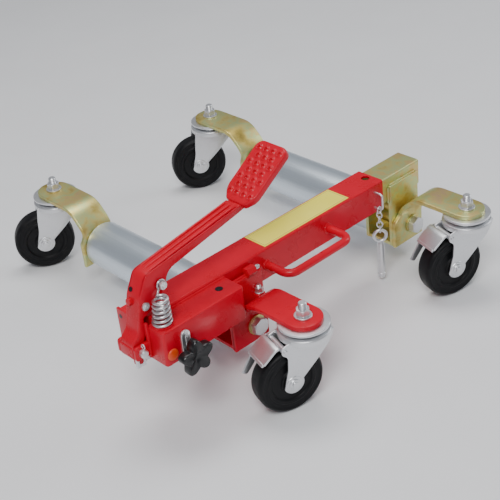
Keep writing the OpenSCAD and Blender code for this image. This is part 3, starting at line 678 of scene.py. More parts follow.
def arm(name, axle_x, contact_y, swivel, side, body, material):
    """Bent plate. A centre line runs up the flange, over two bends and out to the rounded tip;
    at each point stands a rounded rectangle as wide as the plate is there. The width eases from
    the flange's to the arm's and closes as a half circle at the tip. The front left arm also
    has the lug that its upright bolt stands on."""
    reach = abs(swivel[1] - contact_y)
    half = arm_t / 2
    tip_r = 27.0
    tip = reach + tip_r
    bend_z, run, flange_low = 106.0, 33.0, low(name)[2]
    corners = [[half, flange_low], [half, bend_z - 3], [run + half * 0.4, arm_top - half],
               [tip, arm_top - half]]
    line = rounded(corners, [1, 14, 16, 1], 12, closed=False)
    step = np.linalg.norm(np.diff(line, axis=0), axis=1)
    s = np.concatenate([[0], np.cumsum(step)])
    total = s[-1]
    straight = total - tip_r
    even = np.concatenate([[0, 0.25, 0.6, 1.2], np.linspace(2.5, straight, 46),
                           straight + tip_r * np.sin(np.linspace(0.06, math.pi / 2, 26))])
    u = np.interp(even, s, line[:, 0])
    z = np.interp(even, s, line[:, 1])
    du, dz = np.gradient(u), np.gradient(z)
    size = np.hypot(du, dz)
    nu, nz = -dz / size, du / size
    shift = swivel[0] - axle_x
    ease = np.clip((z - (bend_z - 22)) / 16, 0, 1)
    ease = ease * ease * (3 - 2 * ease)
    left = -flange_left + (shift - tip_r + flange_left) * ease
    right = flange_right + (shift + tip_r - flange_right) * ease
    past = np.clip(even - straight, 0, tip_r - 0.1)
    round_tip = np.sqrt(tip_r ** 2 - past ** 2)
    left = np.where(past > 0, shift - round_tip, left)
    right = np.where(past > 0, shift + round_tip, right)
    thin = np.interp(even, [0, 0.6, 1.2], [0.72, 0.94, 1.0])
    thin = thin * np.interp(past, [0, tip_r - 0.8, tip_r - 0.1], [1, 1, 0.75])
    edge = 1.4
    q = np.linspace(0, math.pi / 2, 5)
    corner = np.stack([np.cos(q), np.sin(q)], axis=1)
    signs = [(1, 1), (-1, 1), (-1, -1), (1, -1)]
    rings = []
    for sx, sn in signs:
        arc = corner if sx * sn > 0 else corner[::-1]
        away = (edge * (arc[:, 0] - 1))[None] * np.ones_like(left)[:, None]
        across = np.where(sx > 0, right[:, None] + away, left[:, None] - away)
        high_side = sn * (half * thin[:, None] + (edge * (arc[:, 1] - 1))[None])
        rings.append(np.stack([axle_x + across,
                               contact_y + side * (u[:, None] + nu[:, None] * high_side),
                               z[:, None] + nz[:, None] * high_side], axis=2))
    part = loft(np.concatenate(rings, axis=1))
    parts = [turned_round(part) if side > 0 else part]
    if name == "front_left_arm":
        lug = rounded([[5, -13], [19, -13], [19, 0], [5, 0]], 2.5, 4)
        parts.append(moved(slab(lug, 104, 119, 1.0), shift=(axle_x, contact_y, 0)))
    piece(name + "_bent", parts, body, material, [name], sharp=40)


def caster_yaw(corner):
    """Yaw of a caster in degrees, from the direction of its wheel's axle."""
    axis = joints[corner + "_wheel_turn"]["axis"]
    return math.degrees(math.atan2(-axis[0], axis[1]))


swivels = {c: joint_place(c + "_swivel_turn") for c in ("fl", "fr", "rl", "rr")}
arm("front_left_arm", left_axle[0], high("front_left_arm")[1], swivels["fl"], -1,
    "frame", RED)
arm("front_right_arm", right_axle[0], high("front_right_arm")[1], swivels["fr"], -1,
    "slide", GOLD)
arm("rear_left_arm", left_axle[0], low("rear_left_arm")[1], swivels["rl"], 1,
    "frame", GOLD)
arm("rear_right_arm", right_axle[0], low("rear_right_arm")[1], swivels["rr"], 1,
    "slide", GOLD)

# ---------------------------------------------------------------- casters


def at_caster(part, corner):
    """A part in a caster's own frame, turned by the caster's yaw and put at its swivel."""
    spot = swivels[corner]
    return moved(part, turn_z(caster_yaw(corner)), shift=(spot[0], spot[1], 0))


def caster_wheel(corner):
    """Solid tyre turned from one closed profile: crowned tread, shoulders, a ring on each side,
    a dished web and a hub."""
    r, w = wheel_r, 15.5
    side = [[5.05, w], [16, w], [17, w - 3.5], [30, w - 4], [31.5, w - 1.4], [36, w - 1.0],
            [37, w - 2.2], [42, w - 2.2], [r - 4.0, w - 0.2], [r - 0.2, w - 5], [r, 0]]
    profile = side + [[a, -b] for a, b in side[-2::-1]]
    radii = [0.6, 1.5, 1.5, 1.5, 1.0, 0.8, 0.8, 1.5, 4.0, 4.0, 5.0]
    curve = rounded(profile, radii + radii[-2::-1], 5)
    tyre = along_y_back(lathe(curve[::-1], 120, True), -trail, 0, wheel_r)
    bush = []
    for y in (w + 0.6, -w - 0.6 - 0.001):
        ring = ring_disc(5.1, 9.0, 1.4, 0.4)
        bush.append(along_y_back(ring, -trail, y - 0.7, wheel_r))
    piece(corner + "_tyre", [at_caster(tyre, corner)], corner + "_wheel_spin", RUBBER,
          [corner + "_wheel"])
    piece(corner + "_hub_rings", [at_caster(b, corner) for b in bush], corner + "_wheel_spin",
          ZINC)


def fork_leg(braked):
    """Outline of a leg in XZ: shoulders under the crown, an ear for the brake pin if there is
    one, and a round boss about the wheel's axle."""
    boss = np.linspace(math.radians(200), math.radians(375), 22)
    around = np.stack([-trail + 15.5 * np.cos(boss), wheel_r + 15.5 * np.sin(boss)], axis=1)
    ear = [[-46, 112.5], [-46, 101]] if braked else [[-35.5, 108], [-36.5, 101]]
    upper = [[5, 74], [27, 97], [33.5, 112], [33.5, 116.5], [-34, 116.5], *ear, [-37.5, 95],
             [-39, 74]]
    return np.vstack([around, rounded(upper, [8, 8, 4, 1.6, 1.6, 3, 4, 5, 8], 5, closed=False)])


def caster_fork(corner):
    """Pressed fork: a dished crown with a turned-down lip and two legs with raised boss rings.
    The wheel's bolt has a domed head on one side, a nut and a thread on the other."""
    crown_z = arm_under - 9.5
    crown = rounded([[6.05, crown_z - 3.5], [22, crown_z - 3.5], [24, crown_z - 4], [34, crown_z - 4],
                     [34.6, crown_z - 9], [37, crown_z - 9], [37, crown_z - 1.2], [35, crown_z],
                     [6.05, crown_z]], [0.5, 1, 1, 1.5, 0.8, 0.8, 2.0, 1.5, 0.5], 5)
    parts = [lathe(crown, 96, True)]
    outline = fork_leg(corner in ("fl", "fr"))
    sheet = 3.0
    ring = lathe(rounded([[6, -0.5], [12.5, -0.5], [11.5, 1.2], [6, 1.2]], 0.5, 4), 48, True)
    parts.append(xz_slab(outline, -fork_face, sheet - fork_face, 0.9))
    parts.append(along_y(ring, -trail, -fork_face, wheel_r))
    parts.append(xz_slab(outline, fork_face - sheet, fork_face, 0.9))
    parts.append(along_y_back(ring, -trail, fork_face, wheel_r))
    piece(corner + "_pressed_fork", [at_caster(p, corner) for p in parts], corner + "_swivel",
          ZINC, [corner + "_fork"])
    nut = along_y_back(bolt_shape(16, 6, 1.0), -trail, fork_face, wheel_r)
    pin = along_y_back(lathe([[5, 0], [5, 2 * fork_face]], 32), -trail, -fork_face, wheel_r)
    dome = [[8, 0], [8, 2.0], [7.2, 2.9], [5, 3.2], [4.6, 5.0], [0.3, 5.4]]
    cap = along_y(lathe(dome, 40), -trail, -fork_face, wheel_r)
    end = along_y_back(thread(5, 3.2, 1.2), -trail, fork_face + 5, wheel_r)
    piece(corner + "_wheel_bolt", [at_caster(p, corner) for p in (nut, pin, cap, end)],
          corner + "_swivel", ZINC, [corner + "_spindle"])


def caster_brake(corner):
    """Brake pedal: a curved tread plate with a rolled lip, hung from a pin behind the crown, with
    a shoe under it and a long release finger beside the wheel."""
    tread = rounded([[-47.5, 113], [-53.5, 112.3], [-73, 96], [-70.8, 93.2], [-52.5, 108.8],
                     [-47.5, 109.8]], [1.2, 5, 1.2, 1.2, 5, 1.2], 6)
    finger = rounded([[-36, 110], [-47.5, 113], [-58, 110], [-74, 86], [-88, 64], [-80, 60],
                      [-68, 74], [-52, 98], [-38, 102]], [2, 5, 6, 12, 2.5, 2.5, 12, 8, 3], 6)
    shoe = rounded([[-41, 108.5], [-52, 111], [-62, 105], [-58, 98.5], [-44, 104]], 1.5, 4)
    parts = [xz_slab(tread, -17.5, 24.5, 0.7), xz_slab(finger, 22.0, 24.5, 0.7),
             xz_slab(shoe, -6, 6, 0.8)]
    lip = rounded([[-76, 93.5], [-73, 96.8], [-70.6, 94.4], [-73.6, 91.3]], 1.2, 4)
    parts.append(xz_slab(lip, -16, 23, 0.7))
    hinge_x, hinge_z = -41, 106
    pin = lathe([[2.2, -0.6], [3, 0], [3, 45.5], [2.2, 46.1]], 24)
    parts.append(along_y_back(pin, hinge_x, -22.5, hinge_z))
    parts.append(along_y_back(lathe([[4.4, 0], [4.4, 34]], 28), hinge_x, -17, hinge_z))
    piece(corner + "_brake_pressing", [at_caster(p, corner) for p in parts],
          corner + "_brake_pedal", ZINC, [corner + "_brake"])


def caster_tops(side, corners, body):
    """Stem with washer, chamfered nut and thread above each arm, and the upper ball races."""
    stems, races = [], []
    stem_top = high(side + "_caster_stems")[2]
    stem_low = arm_under - race_h - 5.0
    stem_r, washer_t, nut_h = 6.0, 2.5, 10.0
    nut_z = arm_top + washer_t
    thread_z = nut_z + nut_h
    foot = [[10, -3], [11, -2], [11, -0.4], [stem_r, 0], [stem_r, arm_top - stem_low + nut_h]]
    race = rounded([[6.2, 0], [27, 0], [30, 0.6], [30.5, 5.0], [36, 5.2], [36, race_h],
                    [6.2, race_h]], [0.4, 1, 1, 1.2, 1.2, 1.0, 0.4], 5)
    for c in corners:
        x, y = swivels[c][:2]
        stems.append(moved(lathe(foot, 40), shift=(x, y, stem_low)))
        stems.append(moved(ring_disc(stem_r, 12.6, washer_t), shift=(x, y, arm_top)))
        stems.append(moved(bolt_shape(17.6, nut_h), turn_z(17), shift=(x, y, nut_z)))
        stems.append(moved(thread(stem_r, stem_top - thread_z), shift=(x, y, thread_z)))
        races.append(moved(lathe(race, 96, True), shift=(x, y, arm_under - race_h)))
    piece(side + "_stems_and_nuts", stems, body, ZINC, [side + "_caster_stems"])
    piece(side + "_ball_races", races, body, ZINC, [side + "_caster_races"])


for corner in ("fl", "fr", "rl", "rr"):
    caster_wheel(corner)
    caster_fork(corner)
for corner in ("fl", "fr"):
    caster_brake(corner)
caster_tops("left", ("fl", "rl"), "frame")
caster_tops("right", ("fr", "rr"), "slide")

# ---------------------------------------------------------------- pedal

lever_y0 = tube_y - 29.5
lever_y1 = tube_y - 2.5
hook_x, hook_z = left_x - 146, 213.0


def from_pivot(*points):
    """Points (x, z) measured from the pedal's pivot."""
    return [[pivot[0] + x, pivot[2] + z] for x, z in points]


def from_axle(*points):
    """Points (x, z) with x measured from the left roller's axle and z from the floor."""
    return [[left_x + x, z] for x, z in points]


def lever():
    """Folded box: two side plates, the skins in front of and behind them, a hinge block, a crank
    with its pin below, three rolled ribs along the arm, a small bolt head in front and a neck
    under the pad. Each outline goes up the column, out along the arm and back."""
    sheet = 4.0
    side = rounded(from_pivot((-10.5, -2), (-8.5, 14), (3.5, 25))
                   + from_axle((-181, 205), (-166, 234), (2, 260), (2, 250.5), (-130, 225),
                               (-137, 205), (-150, 192), (-165, 180.5), (-179.2, 176))
                   + from_pivot((15.2, 34), (15, 22), (10, 10), (10.4, -2)),
                   [3, 5, 6, 6, 7, 2, 2, 14, 12, 6, 4, 2, 3, 6, 3, 3], 6)
    front = rounded(from_pivot((-10.2, 0), (-8.3, 14), (3.6, 25))
                    + from_axle((-181, 205), (-166, 234), (2, 260), (2, 260 - sheet),
                                (-164, 234 - sheet), (-177, 205))
                    + from_pivot((7, 25), (-4.5, 13), (-6, 0)),
                    [1, 5, 6, 6, 7, 1, 1, 4, 4, 5, 4, 1], 6)
    back = rounded(from_pivot((8.6, 4), (8.8, 10), (14, 22))
                   + from_axle((-180, 176.4), (-166, 181.2), (-151, 192.5), (-138, 206),
                               (-141, 207.5), (-154, 195.5), (-168, 184.5), (-183, 179.4))
                   + from_pivot((11, 23), (6, 11), (6, 4)),
                   [1, 3, 4, 3, 4, 4, 1, 1, 4, 4, 3, 4, 3, 1], 6)
    block = rounded(from_pivot((9.5, -10), (-10.8, -10), (-10.8, 9), (9.5, 9)), [6, 3, 3, 6], 6)
    crank = rounded(from_pivot((-6, -22), (6, -22), (6, 0), (-6, 0)), 2, 4)
    neck = rounded(from_axle((0, 249), (14, 252), (14, 259), (0, 259)), 1.5, 4)
    parts = [xz_slab(side, lever_y0, lever_y0 + sheet, 1.2),
             xz_slab(side, lever_y1 - sheet, lever_y1, 1.2),
             xz_slab(front, lever_y0 + 0.2, lever_y1 - 0.2, 0.6),
             xz_slab(back, lever_y0 + 0.4, lever_y1 - 0.4, 0.6),
             xz_slab(block, lever_y0 - 0.1, lever_y1 + 0.1, 1.2),
             xz_slab(crank, tube_front - 0.5, tube_front + 4, 0.6)]
    crank_pin = lathe([[3, 0], [3, 5.5]], 28)
    parts.append(along_y_back(crank_pin, pivot[0], tube_front - 5.5, pivot[2] - 17))
    run = np.linspace(0, 1, 40)
    rib_x, rib_length, rib_z, rib_rise, end_dip = left_x - 160, 159, 234.7, 25.7, 2.4
    x = rib_x + rib_length * run
    z = rib_z + rib_rise * run - end_dip * np.abs(2 * run - 1) ** 16
    for across in (4.5, 13.5, 22.5):
        y = np.full_like(x, lever_y0 + across)
        parts.append(sweep(np.stack([x, y, z], axis=1), 1.9, 12))
    head = bolt_shape(9.5, 4.5, 0.8)
    parts.append(moved(head, turn_y(-78), shift=(left_x - 182.2, tube_y - 11, 197)))
    parts.append(xz_slab(neck, lever_y0 + 1.5, lever_y1 - 1.5, 1.0))
    piece("lever_channel", parts, "pedal", RED, ["pedal_lever"], sharp=38)
    # Thin black disc on the lever's side: painted shade where a hole looks dark, since the lever is not
    # cut through here.
    hole_shade_disc = lathe([[0.3, 0], [3.4, 0], [3.4, 0.4], [0.3, 0.4]], 32)
    hole_shade_disc = moved(hole_shade_disc, turn_y(-63), shift=(left_x - 177.3, tube_y - 9, 212.3))
    piece("lever_hole_painted_shade", [hole_shade_disc], "pedal", BLACK_PLASTIC_AND_SHADE)


def foot_pad():
    """Tread plate drawn as copies of its outline, shrunk toward the middle. With d the distance
    to the nearest dimple's centre, the top rises by a lip, 1.4 exp(-((d - 3.4) / 1.35)^2), and
    falls by a cup, 2.4 (1 - (d / 2.8)^2), within it. Past the outline the surface folds down as
    a rim and comes back under itself."""
    slope = -33.0
    thick = 3.0
    rim = 7.0
    fold = 2.6
    length, half = 98.0, 28.5
    corners = [[0, -17], [0, 17], [16, half], [length - 7, half], [length, half - 7],
               [length, -half + 7], [length - 7, -half], [14, -half]]
    outline = counter_clockwise(tidy_outline(rounded(corners, [4, 4, 7, 5, 5, 5, 5, 7], 7)))
    normal = side_normals(outline)
    ring = np.vstack([outline, outline[:1]])
    ring_n = np.vstack([normal, normal[:1]])
    travelled = np.concatenate([[0], np.cumsum(np.linalg.norm(np.diff(ring, axis=0), axis=1))])
    count = 420
    stops = np.linspace(0, travelled[-1], count, endpoint=False)
    around = np.stack([np.interp(stops, travelled, ring[:, k]) for k in (0, 1)], axis=1)
    around_n = np.stack([np.interp(stops, travelled, ring_n[:, k]) for k in (0, 1)], axis=1)
    middle = np.array([length / 2, 0.0])
    shrink = np.concatenate([np.linspace(0.0, 0.94, 110)[1:], [0.955]])
    top = middle + (around - middle)[None] * shrink[:, None, None]
    spots = np.array([[2 + 12 * i, (j - (2 + i % 2) / 2) * 13]
                      for i in range(1, 8) for j in range(3 + i % 2)])
    d = np.linalg.norm(top[:, :, None] - spots[None, None], axis=3).min(axis=2)
    lip = 1.4 * np.exp(-((d - 3.4) / 1.35) ** 2) - 2.4 * np.clip(1 - (d / 2.8) ** 2, 0, 1)
    height = thick + lip
    q = np.linspace(0.15, math.pi / 2, 6)
    inset = fold * (1 - np.sin(q))
    drop = thick - fold * (1 - np.cos(q))
    curl = around[None] - around_n[None] * inset[:, None, None]
    lower = around[None] - around_n[None] * np.array([0.0, 0.0, 0.3])[:, None, None]
    inner = around[None] - around_n[None] * np.array([fold - 0.4, fold, fold])[:, None, None]
    share = np.array([0.97, 0.6, 0.02])[:, None, None]
    under = middle + (around - around_n * fold - middle)[None] * share
    flat = np.concatenate([top, curl, lower, inner, under])
    levels = np.concatenate([drop, [-2.0, -rim + 0.5, -rim], [-rim + 0.2, -1.0, 0.0],
                             [0.1, 0.1, 0.1]])
    tall = np.concatenate([height, np.repeat(levels[:, None], count, axis=1)])
    part = turned_round(loft(np.concatenate([flat, tall[:, :, None]], axis=2)))
    spot = (left_x + 5.5, (lever_y0 + lever_y1) / 2, 258)
    piece("foot_pad_plate", [moved(part, turn_y(slope), shift=spot)], "pedal", RED,
          ["foot_pad"], sharp=80)


def pedal_bolts():
    """Two bolts through the lever with hexagon heads in front and nuts behind."""
    parts = []
    head_h = 3.2
    shank = lathe([[4, 0], [4, lever_y1 - lever_y0 + 4]], 28)
    for x, z, out in ((hook_x, hook_z, 9.0), (left_x - 174, 193.0, 3.5)):
        parts.append(along_y(thread(3.6, out + 0.8, 1.25), x, lever_y0, z))
        parts.append(along_y_back(shank, x, lever_y0, z))
        parts.append(along_y(bolt_shape(10.6, head_h, 0.7), x, lever_y0 - out + head_h, z))
        parts.append(along_y_back(bolt_shape(11, 5, 0.8), x, lever_y1, z))
    piece("lever_bolts", parts, "pedal", ZINC, ["hook_bolts"])


def spring_hook():
    """End of the spring's wire: a quadratic curve rises from the top coil and runs into a loop
    round the upper bolt."""
    c = centre("spring_seat")
    y = lever_y0 - 2.8
    loop_r = 6.0
    q = np.linspace(math.radians(215), math.radians(-110), 40)
    loop = np.stack([hook_x + loop_r * np.cos(q), np.full_like(q, y),
                     hook_z + loop_r * np.sin(q)], axis=1)
    start = np.array([c[0] + 3.5, c[1] + 8.6, 202.5])
    middle = np.array([hook_x - 6.5, y, hook_z - 9.0])
    t = np.linspace(0, 1, 24)[:-1, None]
    rise = (1 - t) ** 2 * start + 2 * t * (1 - t) * middle + t ** 2 * loop[0]
    piece("spring_hook_wire", [sweep(np.vstack([rise, loop]), 1.7, 12)], "pedal",
          SPRING_STEEL, sharp=60)


def pedal_spring():
    """Wire on a cone: the radius falls and the height rises with the turn, with flat end coils."""
    base = high("spring_seat")[2]
    c = centre("spring_seat")
    wire = 2.05
    rise = 33.5
    turns = 6.25
    q = np.linspace(0, turns * TAU, 560)
    part = q / q[-1]
    lift = np.clip((part - 0.10) / 0.84, 0, 1)
    radius = 12.4 - 3.6 * part
    x = c[0] + radius * np.cos(q) + 2.5 * lift
    y = c[1] + radius * np.sin(q)
    z = base + wire + rise * lift
    path = np.stack([x, y, z], axis=1)
    spring = piece("return_spring_wire", [sweep(path, wire, 12)], "frame", SPRING_STEEL,
                   ["return_spring"], sharp=60)
    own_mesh(spring)


def cotter():
    """Split pin through the pivot: an eye above and two legs bent apart below."""
    x, y = centre("cotter_pin")[:2]
    z = pivot[2]
    q = np.linspace(math.radians(-70), math.radians(250), 40)
    eye = np.stack([x + 0 * q, y + 3.2 * np.cos(q), z + 11.6 + 3.2 * np.sin(q)], axis=1)
    legs = []
    for side in (-1, 1):
        h = np.linspace(9, -11, 30)
        bend = np.clip((-6 - h) / 5, 0, 1)
        legs.append(np.stack([x + 0 * h, y + side * (0.65 + 2.6 * bend ** 2), z + h], axis=1))
    parts = [sweep(eye, 0.9, 10)] + [sweep(leg, 0.75, 10) for leg in legs]
    piece("split_pin", parts, "frame", ZINC, ["cotter_pin"])


def pivot_pin():
    """Turned pivot pin with chamfered ends."""
    y0, y1 = low("pivot_pin")[1], high("pivot_pin")[1]
    length = y1 - y0
    part = lathe([[4.6, 0], [6, 1.4], [6, length - 1.4], [4.6, length]], 48)
    piece("pivot_pin_turned", [along_y_back(part, pivot[0], y0, pivot[2])], "frame", ZINC,
          ["pivot_pin"])


lever()
foot_pad()
pedal_bolts()
spring_hook()
pedal_spring()
cotter()
pivot_pin()

# ---------------------------------------------------------------- ratchet housing and its fittings

house_low = low("ratchet_housing")
house_high = high("ratchet_housing")
knob_place = joint_place("knob_turn")


def housing():
    """Folded cover: a bent wall around three sides and a lid notched for the lever, left open
    below, with a weld bead along the tube."""
    x0, y0, z0 = house_low
    x1, y1, z1 = house_high
    sheet = 4.0
    outer = [[x0, y1 - 5.2], [x0, y0], [x1, y0], [x1, y1 - 6.4]]
    inner = [[x1 - sheet, y1 - 6.4], [x1 - sheet, y0 + sheet], [x0 + sheet, y0 + sheet],
             [x0 + sheet, y1 - 5.2]]
    wall = rounded(outer + inner, [1.2, 5, 5, 1.2, 1.2, 2, 2, 1.2], 6)
    parts = [slab(wall, z0, z1 - 2, 0.7)]
    notch_x, notch_y = x0 + 10.2, y1 - 5.6
    lid = rounded([[x0, notch_y], [x0, y0], [x1, y0], [x1, y1], [notch_x, y1], [notch_x, notch_y]],
                  [2.4, 5, 5, 2.4, 2.4, 0.8], 6)
    parts.append(slab(lid, z1 - sheet, z1, 1.5))
    parts.append(weld([[x0 + 13, y1 - 0.6, z1 + 0.2], [x1 - 1, y1 - 0.6, z1 + 0.2]], 1.8))
    piece("housing_cover", parts, "frame", RED, ["ratchet_housing"])


def lid_hole():
    """Thin black disc on the lid: painted shade for its round hole, which has only darkness under it.
    """
    disc = moved(ring_disc(0.4, 5.5, 0.5, 0.2),
                 shift=(left_x - 61, tube_front - 17, house_high[2] - 0.2))
    piece("lid_hole_painted_shade", [disc], "frame", BLACK_PLASTIC_AND_SHADE)


def plug():
    """Domed plastic plug with a thin flange."""
    c = centre("housing_plug")
    dome = [[6, -6], [6, 0], [8.4, 0], [8.5, 0.8], [7.9, 1.7], [6.0, 2.3], [3.0, 2.55], [0.3, 2.6]]
    part = along_y(lathe(dome, 56), c[0], house_low[1], c[2])
    piece("plug_dome", [part], "frame", ORANGE, ["housing_plug"])


def tab():
    """Steel tab with a round top, pressed with a shallow lengthwise bead."""
    x, z = knob_place[0], knob_place[2]
    y1 = house_low[1]
    arc = np.linspace(0, math.pi, 16)
    top = np.stack([x + 7.5 * np.cos(arc), z + 26 + 7.5 * np.sin(arc)], axis=1)
    outline = np.vstack([top, [[x - 7.5, z - 12], [x + 7.5, z - 12]]])
    parts = [xz_slab(outline, y1 - 4, y1, 1.0)]
    bead = np.stack([np.full(20, x), np.full(20, y1 - 3.6), np.linspace(z + 8, z + 27, 20)], axis=1)
    parts.append(sweep(bead, 1.6 * np.sqrt(np.clip(1 - np.linspace(-1, 1, 20) ** 6, 0.05, 1)), 12))
    piece("release_tab_pressed", parts, "frame", ZINC, ["release_tab"])


def knob():
    """Star knob. The radius at an angle is a round core plus five lobes that follow a raised
    cosine. Each row gives a share of that radius, its depth behind the face, and how much of the
    lobes it has: a dished face, a rounded rim, straight flanks and a round neck."""
    x, z = knob_place[0], knob_place[2]
    y_front = low("star_knob")[1]
    angle = np.linspace(0, TAU, 150, endpoint=False)
    wave = 0.5 + 0.5 * np.cos(5 * (angle - math.radians(18)))
    core = np.full_like(angle, 16.2)
    lobes = core + 10.3 * wave ** 0.8
    rows = [(0.02, 5.5, 0), (0.25, 5.5, 0), (0.34, 4.2, 0.1), (0.52, 3.2, 0.5), (0.80, 1.4, 0.9),
            (0.93, 1.0, 1), (0.985, 2.2, 1), (1.0, 4.2, 1), (1.0, 11.5, 1), (0.985, 13.4, 1),
            (0.93, 14.6, 1), (0.80, 15.2, 0.9), (0.62, 15.8, 0.4), (0.54, 18.0, 0.0), (0.54, 22.0, 0.0),
            (0.26, 22.0, 0.0)]
    rings = []
    for share, depth, star in rows:
        r = share * (core + (lobes - core) * star) * (1.0 if star else 0.98)
        flat = [r * np.cos(angle), r * np.sin(angle)]
        rings.append(np.stack([*flat, np.full_like(angle, depth)], axis=1))
    part = along_y_back(loft(rings), x, y_front, z)
    piece("star_knob_moulding", [part], "knob", BLACK_PLASTIC_AND_SHADE, ["star_knob"], sharp=45)


housing()
lid_hole()
plug()
tab()
knob()

# ---------------------------------------------------------------- end plate, handle, front bolt


def end_plate():
    """Plate with eased edges, notched for the lever and the push rod, two hinge lugs, a thin liner that
    closes the far end of the notch, and two thin black discs of painted shade standing in for its small
    holes."""
    lo, hi = low("tube_end_plate"), high("tube_end_plate")
    x1 = tube_low[0]
    y_in0, y_in1 = lever_y0 - 0.8, lever_y1 + 0.8
    z_notch = pivot[2] + 5
    outline = [[lo[1], house_low[2] + 4], [tube_front - 6, house_low[2] + 4],
               [tube_front - 6, pivot[2] - 12.5], [tube_front - 0.4, pivot[2] - 12.5],
               [tube_front - 0.4, house_low[2] + 4], [hi[1], house_low[2] + 4], [hi[1], hi[2]],
               [y_in1, hi[2]], [y_in1, z_notch], [y_in0, z_notch], [y_in0, tube_high[2] + 1],
               [lo[1], tube_high[2] + 1]]
    points, quads, ends = slab(rounded(outline, 1.3, 4), x1 - 4, x1, 0.7)
    parts = [(points[:, [2, 0, 1]], quads, ends)]
    for y in (lever_y0 - 6, lever_y1 + 0.5):
        lug = [[x1 - 3.5, pivot[2] - 10.5], [pivot[0] - 10.5, pivot[2] - 10.5],
               [pivot[0] - 10.5, pivot[2] + 10.5], [x1 - 3.5, pivot[2] + 10.5]]
        parts.append(xz_slab(rounded(lug, [1.6, 5, 5, 1.6], 6), y, y + 5.5, 1.0))
    for y0, y1, top in ((lever_y0 - 0.6, tube_front - 0.2, house_high[2] - 4.2),
                        (tube_front + 3.2, lever_y1 + 1, tube_high[2] - 3.2)):
        liner = [[x1 + 10.3, pivot[2] + 8], [x1 + 12, pivot[2] + 8], [x1 + 12, top], [x1 + 10.3, top]]
        parts.append(xz_slab(liner, y0, y1, 0.2))
    piece("end_plate_cut", parts, "frame", RED, ["tube_end_plate"])
    # Thin black discs on the plate: painted shade for its small holes, which are not cut through.
    hole_shade_discs = []
    for z in (tube_high[2] - 10, tube_high[2] - 40):
        hole_shade_disc = lathe([[0.3, 0], [3.2, 0], [3.2, 0.3], [0.3, 0.3]], 32)
        hole_shade_discs.append(moved(hole_shade_disc, turn_y(-90), shift=(x1 - 3.95, tube_y + tube_half - 6, z)))
    piece("end_plate_hole_shade_discs", hole_shade_discs, "frame", BLACK_PLASTIC_AND_SHADE)


def handle_welds():
    """Weld rings where the handle's legs meet the tube."""
    parts = []
    leg_r = 6.3
    q = np.linspace(0, TAU, 90, endpoint=False)
    swell = 2.0 * (0.86 + 0.14 * np.abs(np.sin(9 * q)))
    for x in (left_x + 43, left_x + 168):
        path = np.stack([x + leg_r * np.cos(q), np.full_like(q, tube_front - 0.6),
                         tube_z - 1 + leg_r * np.sin(q)], axis=1)
        parts.append(sweep(path, swell, 10, closed=True))
    piece("handle_welds", parts, "frame", RED)


def upright_bolt():
    """Small hexagon bolt on a washer in front of the left saddle."""
    lo, c = low("arm_bolt"), centre("arm_bolt")
    parts = [moved(ring_disc(1, 6.5, 2.0, 0.4), shift=(c[0], c[1], lo[2])),
             moved(bolt_shape(10.4, 7, 0.8), turn_z(11), shift=(c[0], c[1], lo[2] + 2)),
             moved(thread(3.8, 4, 1.2), shift=(c[0], c[1], lo[2] + 9))]
    piece("upright_bolt", parts, "frame", ZINC, ["arm_bolt"])


end_plate()
handle_welds()
upright_bolt()

# ---------------------------------------------------------------- lock pin and chain

link_twist = 13
link_count = 5


def chain():
    """Oval links: each is a round wire along a stadium, turned a quarter turn and a little more
    than the one above it."""
    box_lo, box_hi = low("pin_chain"), high("pin_chain")
    c = centre("pin_chain")
    r, wire = 5.5, 1.1
    step = (box_hi[2] - box_lo[2] - 2 * r - 2 * wire) / (link_count - 1)
    q = np.linspace(0, TAU, 40, endpoint=False)
    parts = []
    for i in range(link_count):
        z = box_hi[2] - r - wire - i * step
        across = 4.3 * np.cos(q)
        up = r * np.sin(q) * (1 - 0.06 * np.cos(2 * q)) / 1.06
        link = sweep(np.stack([across, np.zeros_like(q), up], axis=1), wire, 10, closed=True)
        parts.append(moved(link, turn_z(i * (90 + link_twist)), shift=(c[0], c[1], z)))
    piece("chain_links", parts, "pin_on_chain", ZINC, ["pin_chain"], sharp=60)


def lock_pin():
    """Ring and shank: the shank has a chamfered tip, a groove near it and a shoulder under the
    ring."""
    lo, hi, c = low("lock_pin"), high("lock_pin"), centre("lock_pin")
    ring_r, wire = 9.5, 2.6
    ring_z = hi[2] - ring_r - wire
    q = np.linspace(0, TAU, 96, endpoint=False)
    ring = np.stack([ring_r * np.cos(q), np.zeros_like(q), ring_r * np.sin(q)], axis=1)
    ring = moved(sweep(ring, wire, 20, closed=True), turn_z((link_count - 1) * link_twist - 90),
                 shift=(c[0], c[1], ring_z))
    length = ring_z - ring_r - wire + 2 - lo[2]
    profile = [[3.4, 0], [5.6, 2.6], [6, 4], [6, 9], [5.3, 9.6], [5.3, 11.4], [6, 12],
               [6, length - 4], [4.6, length]]
    parts = [ring, moved(lathe(profile, 48), shift=(c[0], c[1], lo[2]))]
    piece("lock_pin_turned", parts, "pin_on_chain", ZINC, ["lock_pin"], sharp=35)


chain()
lock_pin()

# ---------------------------------------------------------------- stage, light and camera


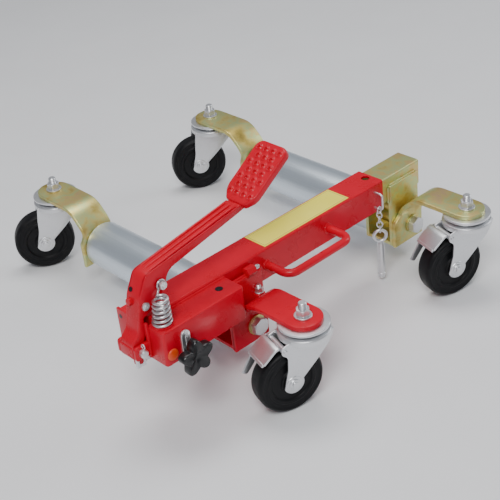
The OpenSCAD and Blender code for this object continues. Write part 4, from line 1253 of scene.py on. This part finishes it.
def floor():
    """Plain pale floor, a large flat sheet."""
    mesh = bpy.data.meshes.new("floor")
    size = 12.0
    mesh.from_pydata([(-size, -size, 0), (size, -size, 0), (size, size, 0), (-size, size, 0)], [],
                     [(0, 1, 2, 3)])
    s = Shop("pale_floor")
    speck = s.noise(6.0, 4.0)
    colour = s.mix(speck, (0.78, 0.78, 0.79), (0.84, 0.84, 0.85))
    mesh.materials.append(s.finish(Base_Color=colour, Roughness=0.65))
    obj = bpy.data.objects.new("floor", mesh)
    bpy.context.scene.collection.objects.link(obj)


def area_light(name, place, target, size, power, colour=(1, 1, 1)):
    """A rectangular light at a place, aimed at a target."""
    data = bpy.data.lights.new(name, "AREA")
    data.shape = "RECTANGLE"
    data.size, data.size_y = size
    data.energy = power
    data.color = colour
    obj = bpy.data.objects.new(name, data)
    bpy.context.scene.collection.objects.link(obj)
    obj.location = place
    aim = Vector(target) - Vector(place)
    obj.rotation_euler = aim.to_track_quat("-Z", "Y").to_euler()


def studio():
    """Pale world and three soft lights: key, top and side."""
    world = bpy.data.worlds.new("studio")
    world.use_nodes = True
    back = world.node_tree.nodes["Background"]
    back.inputs["Color"].default_value = (0.90, 0.93, 1.0, 1)
    back.inputs["Strength"].default_value = 0.28
    bpy.context.scene.world = world
    area_light("key", (-1.5, -1.3, 2.4), (0, 0, 0.1), (1.1, 1.1), 58)
    area_light("top", (0.3, 0.6, 2.6), (0, 0, 0.1), (1.8, 1.0), 34)
    area_light("side", (2.2, -0.9, 1.2), (0, 0, 0.1), (0.8, 1.6), 16, (0.92, 0.96, 1.0))


def camera():
    """Long lens, seen from the pedal's corner and above, with a slight roll."""
    place = Vector((-1.0108, -1.2103, 0.9922))
    azimuth, elevation, roll = math.radians(-40.135), math.radians(31.511), math.radians(-6.459)
    back = Vector((math.sin(azimuth) * math.cos(elevation), -math.cos(azimuth) * math.cos(elevation),
                   math.sin(elevation)))
    right = Vector((math.cos(azimuth), math.sin(azimuth), 0))
    up = back.cross(right)
    right_rolled = right * math.cos(roll) + up * math.sin(roll)
    up_rolled = up * math.cos(roll) - right * math.sin(roll)
    data = bpy.data.cameras.new("view")
    data.lens = 81.0
    data.sensor_width = 36.0
    data.clip_end = 50
    obj = bpy.data.objects.new("view", data)
    bpy.context.scene.collection.objects.link(obj)
    turn = Matrix((right_rolled, up_rolled, back)).transposed()
    obj.matrix_world = Matrix.Translation(place) @ turn.to_4x4()
    bpy.context.scene.camera = obj


floor()
studio()
camera()
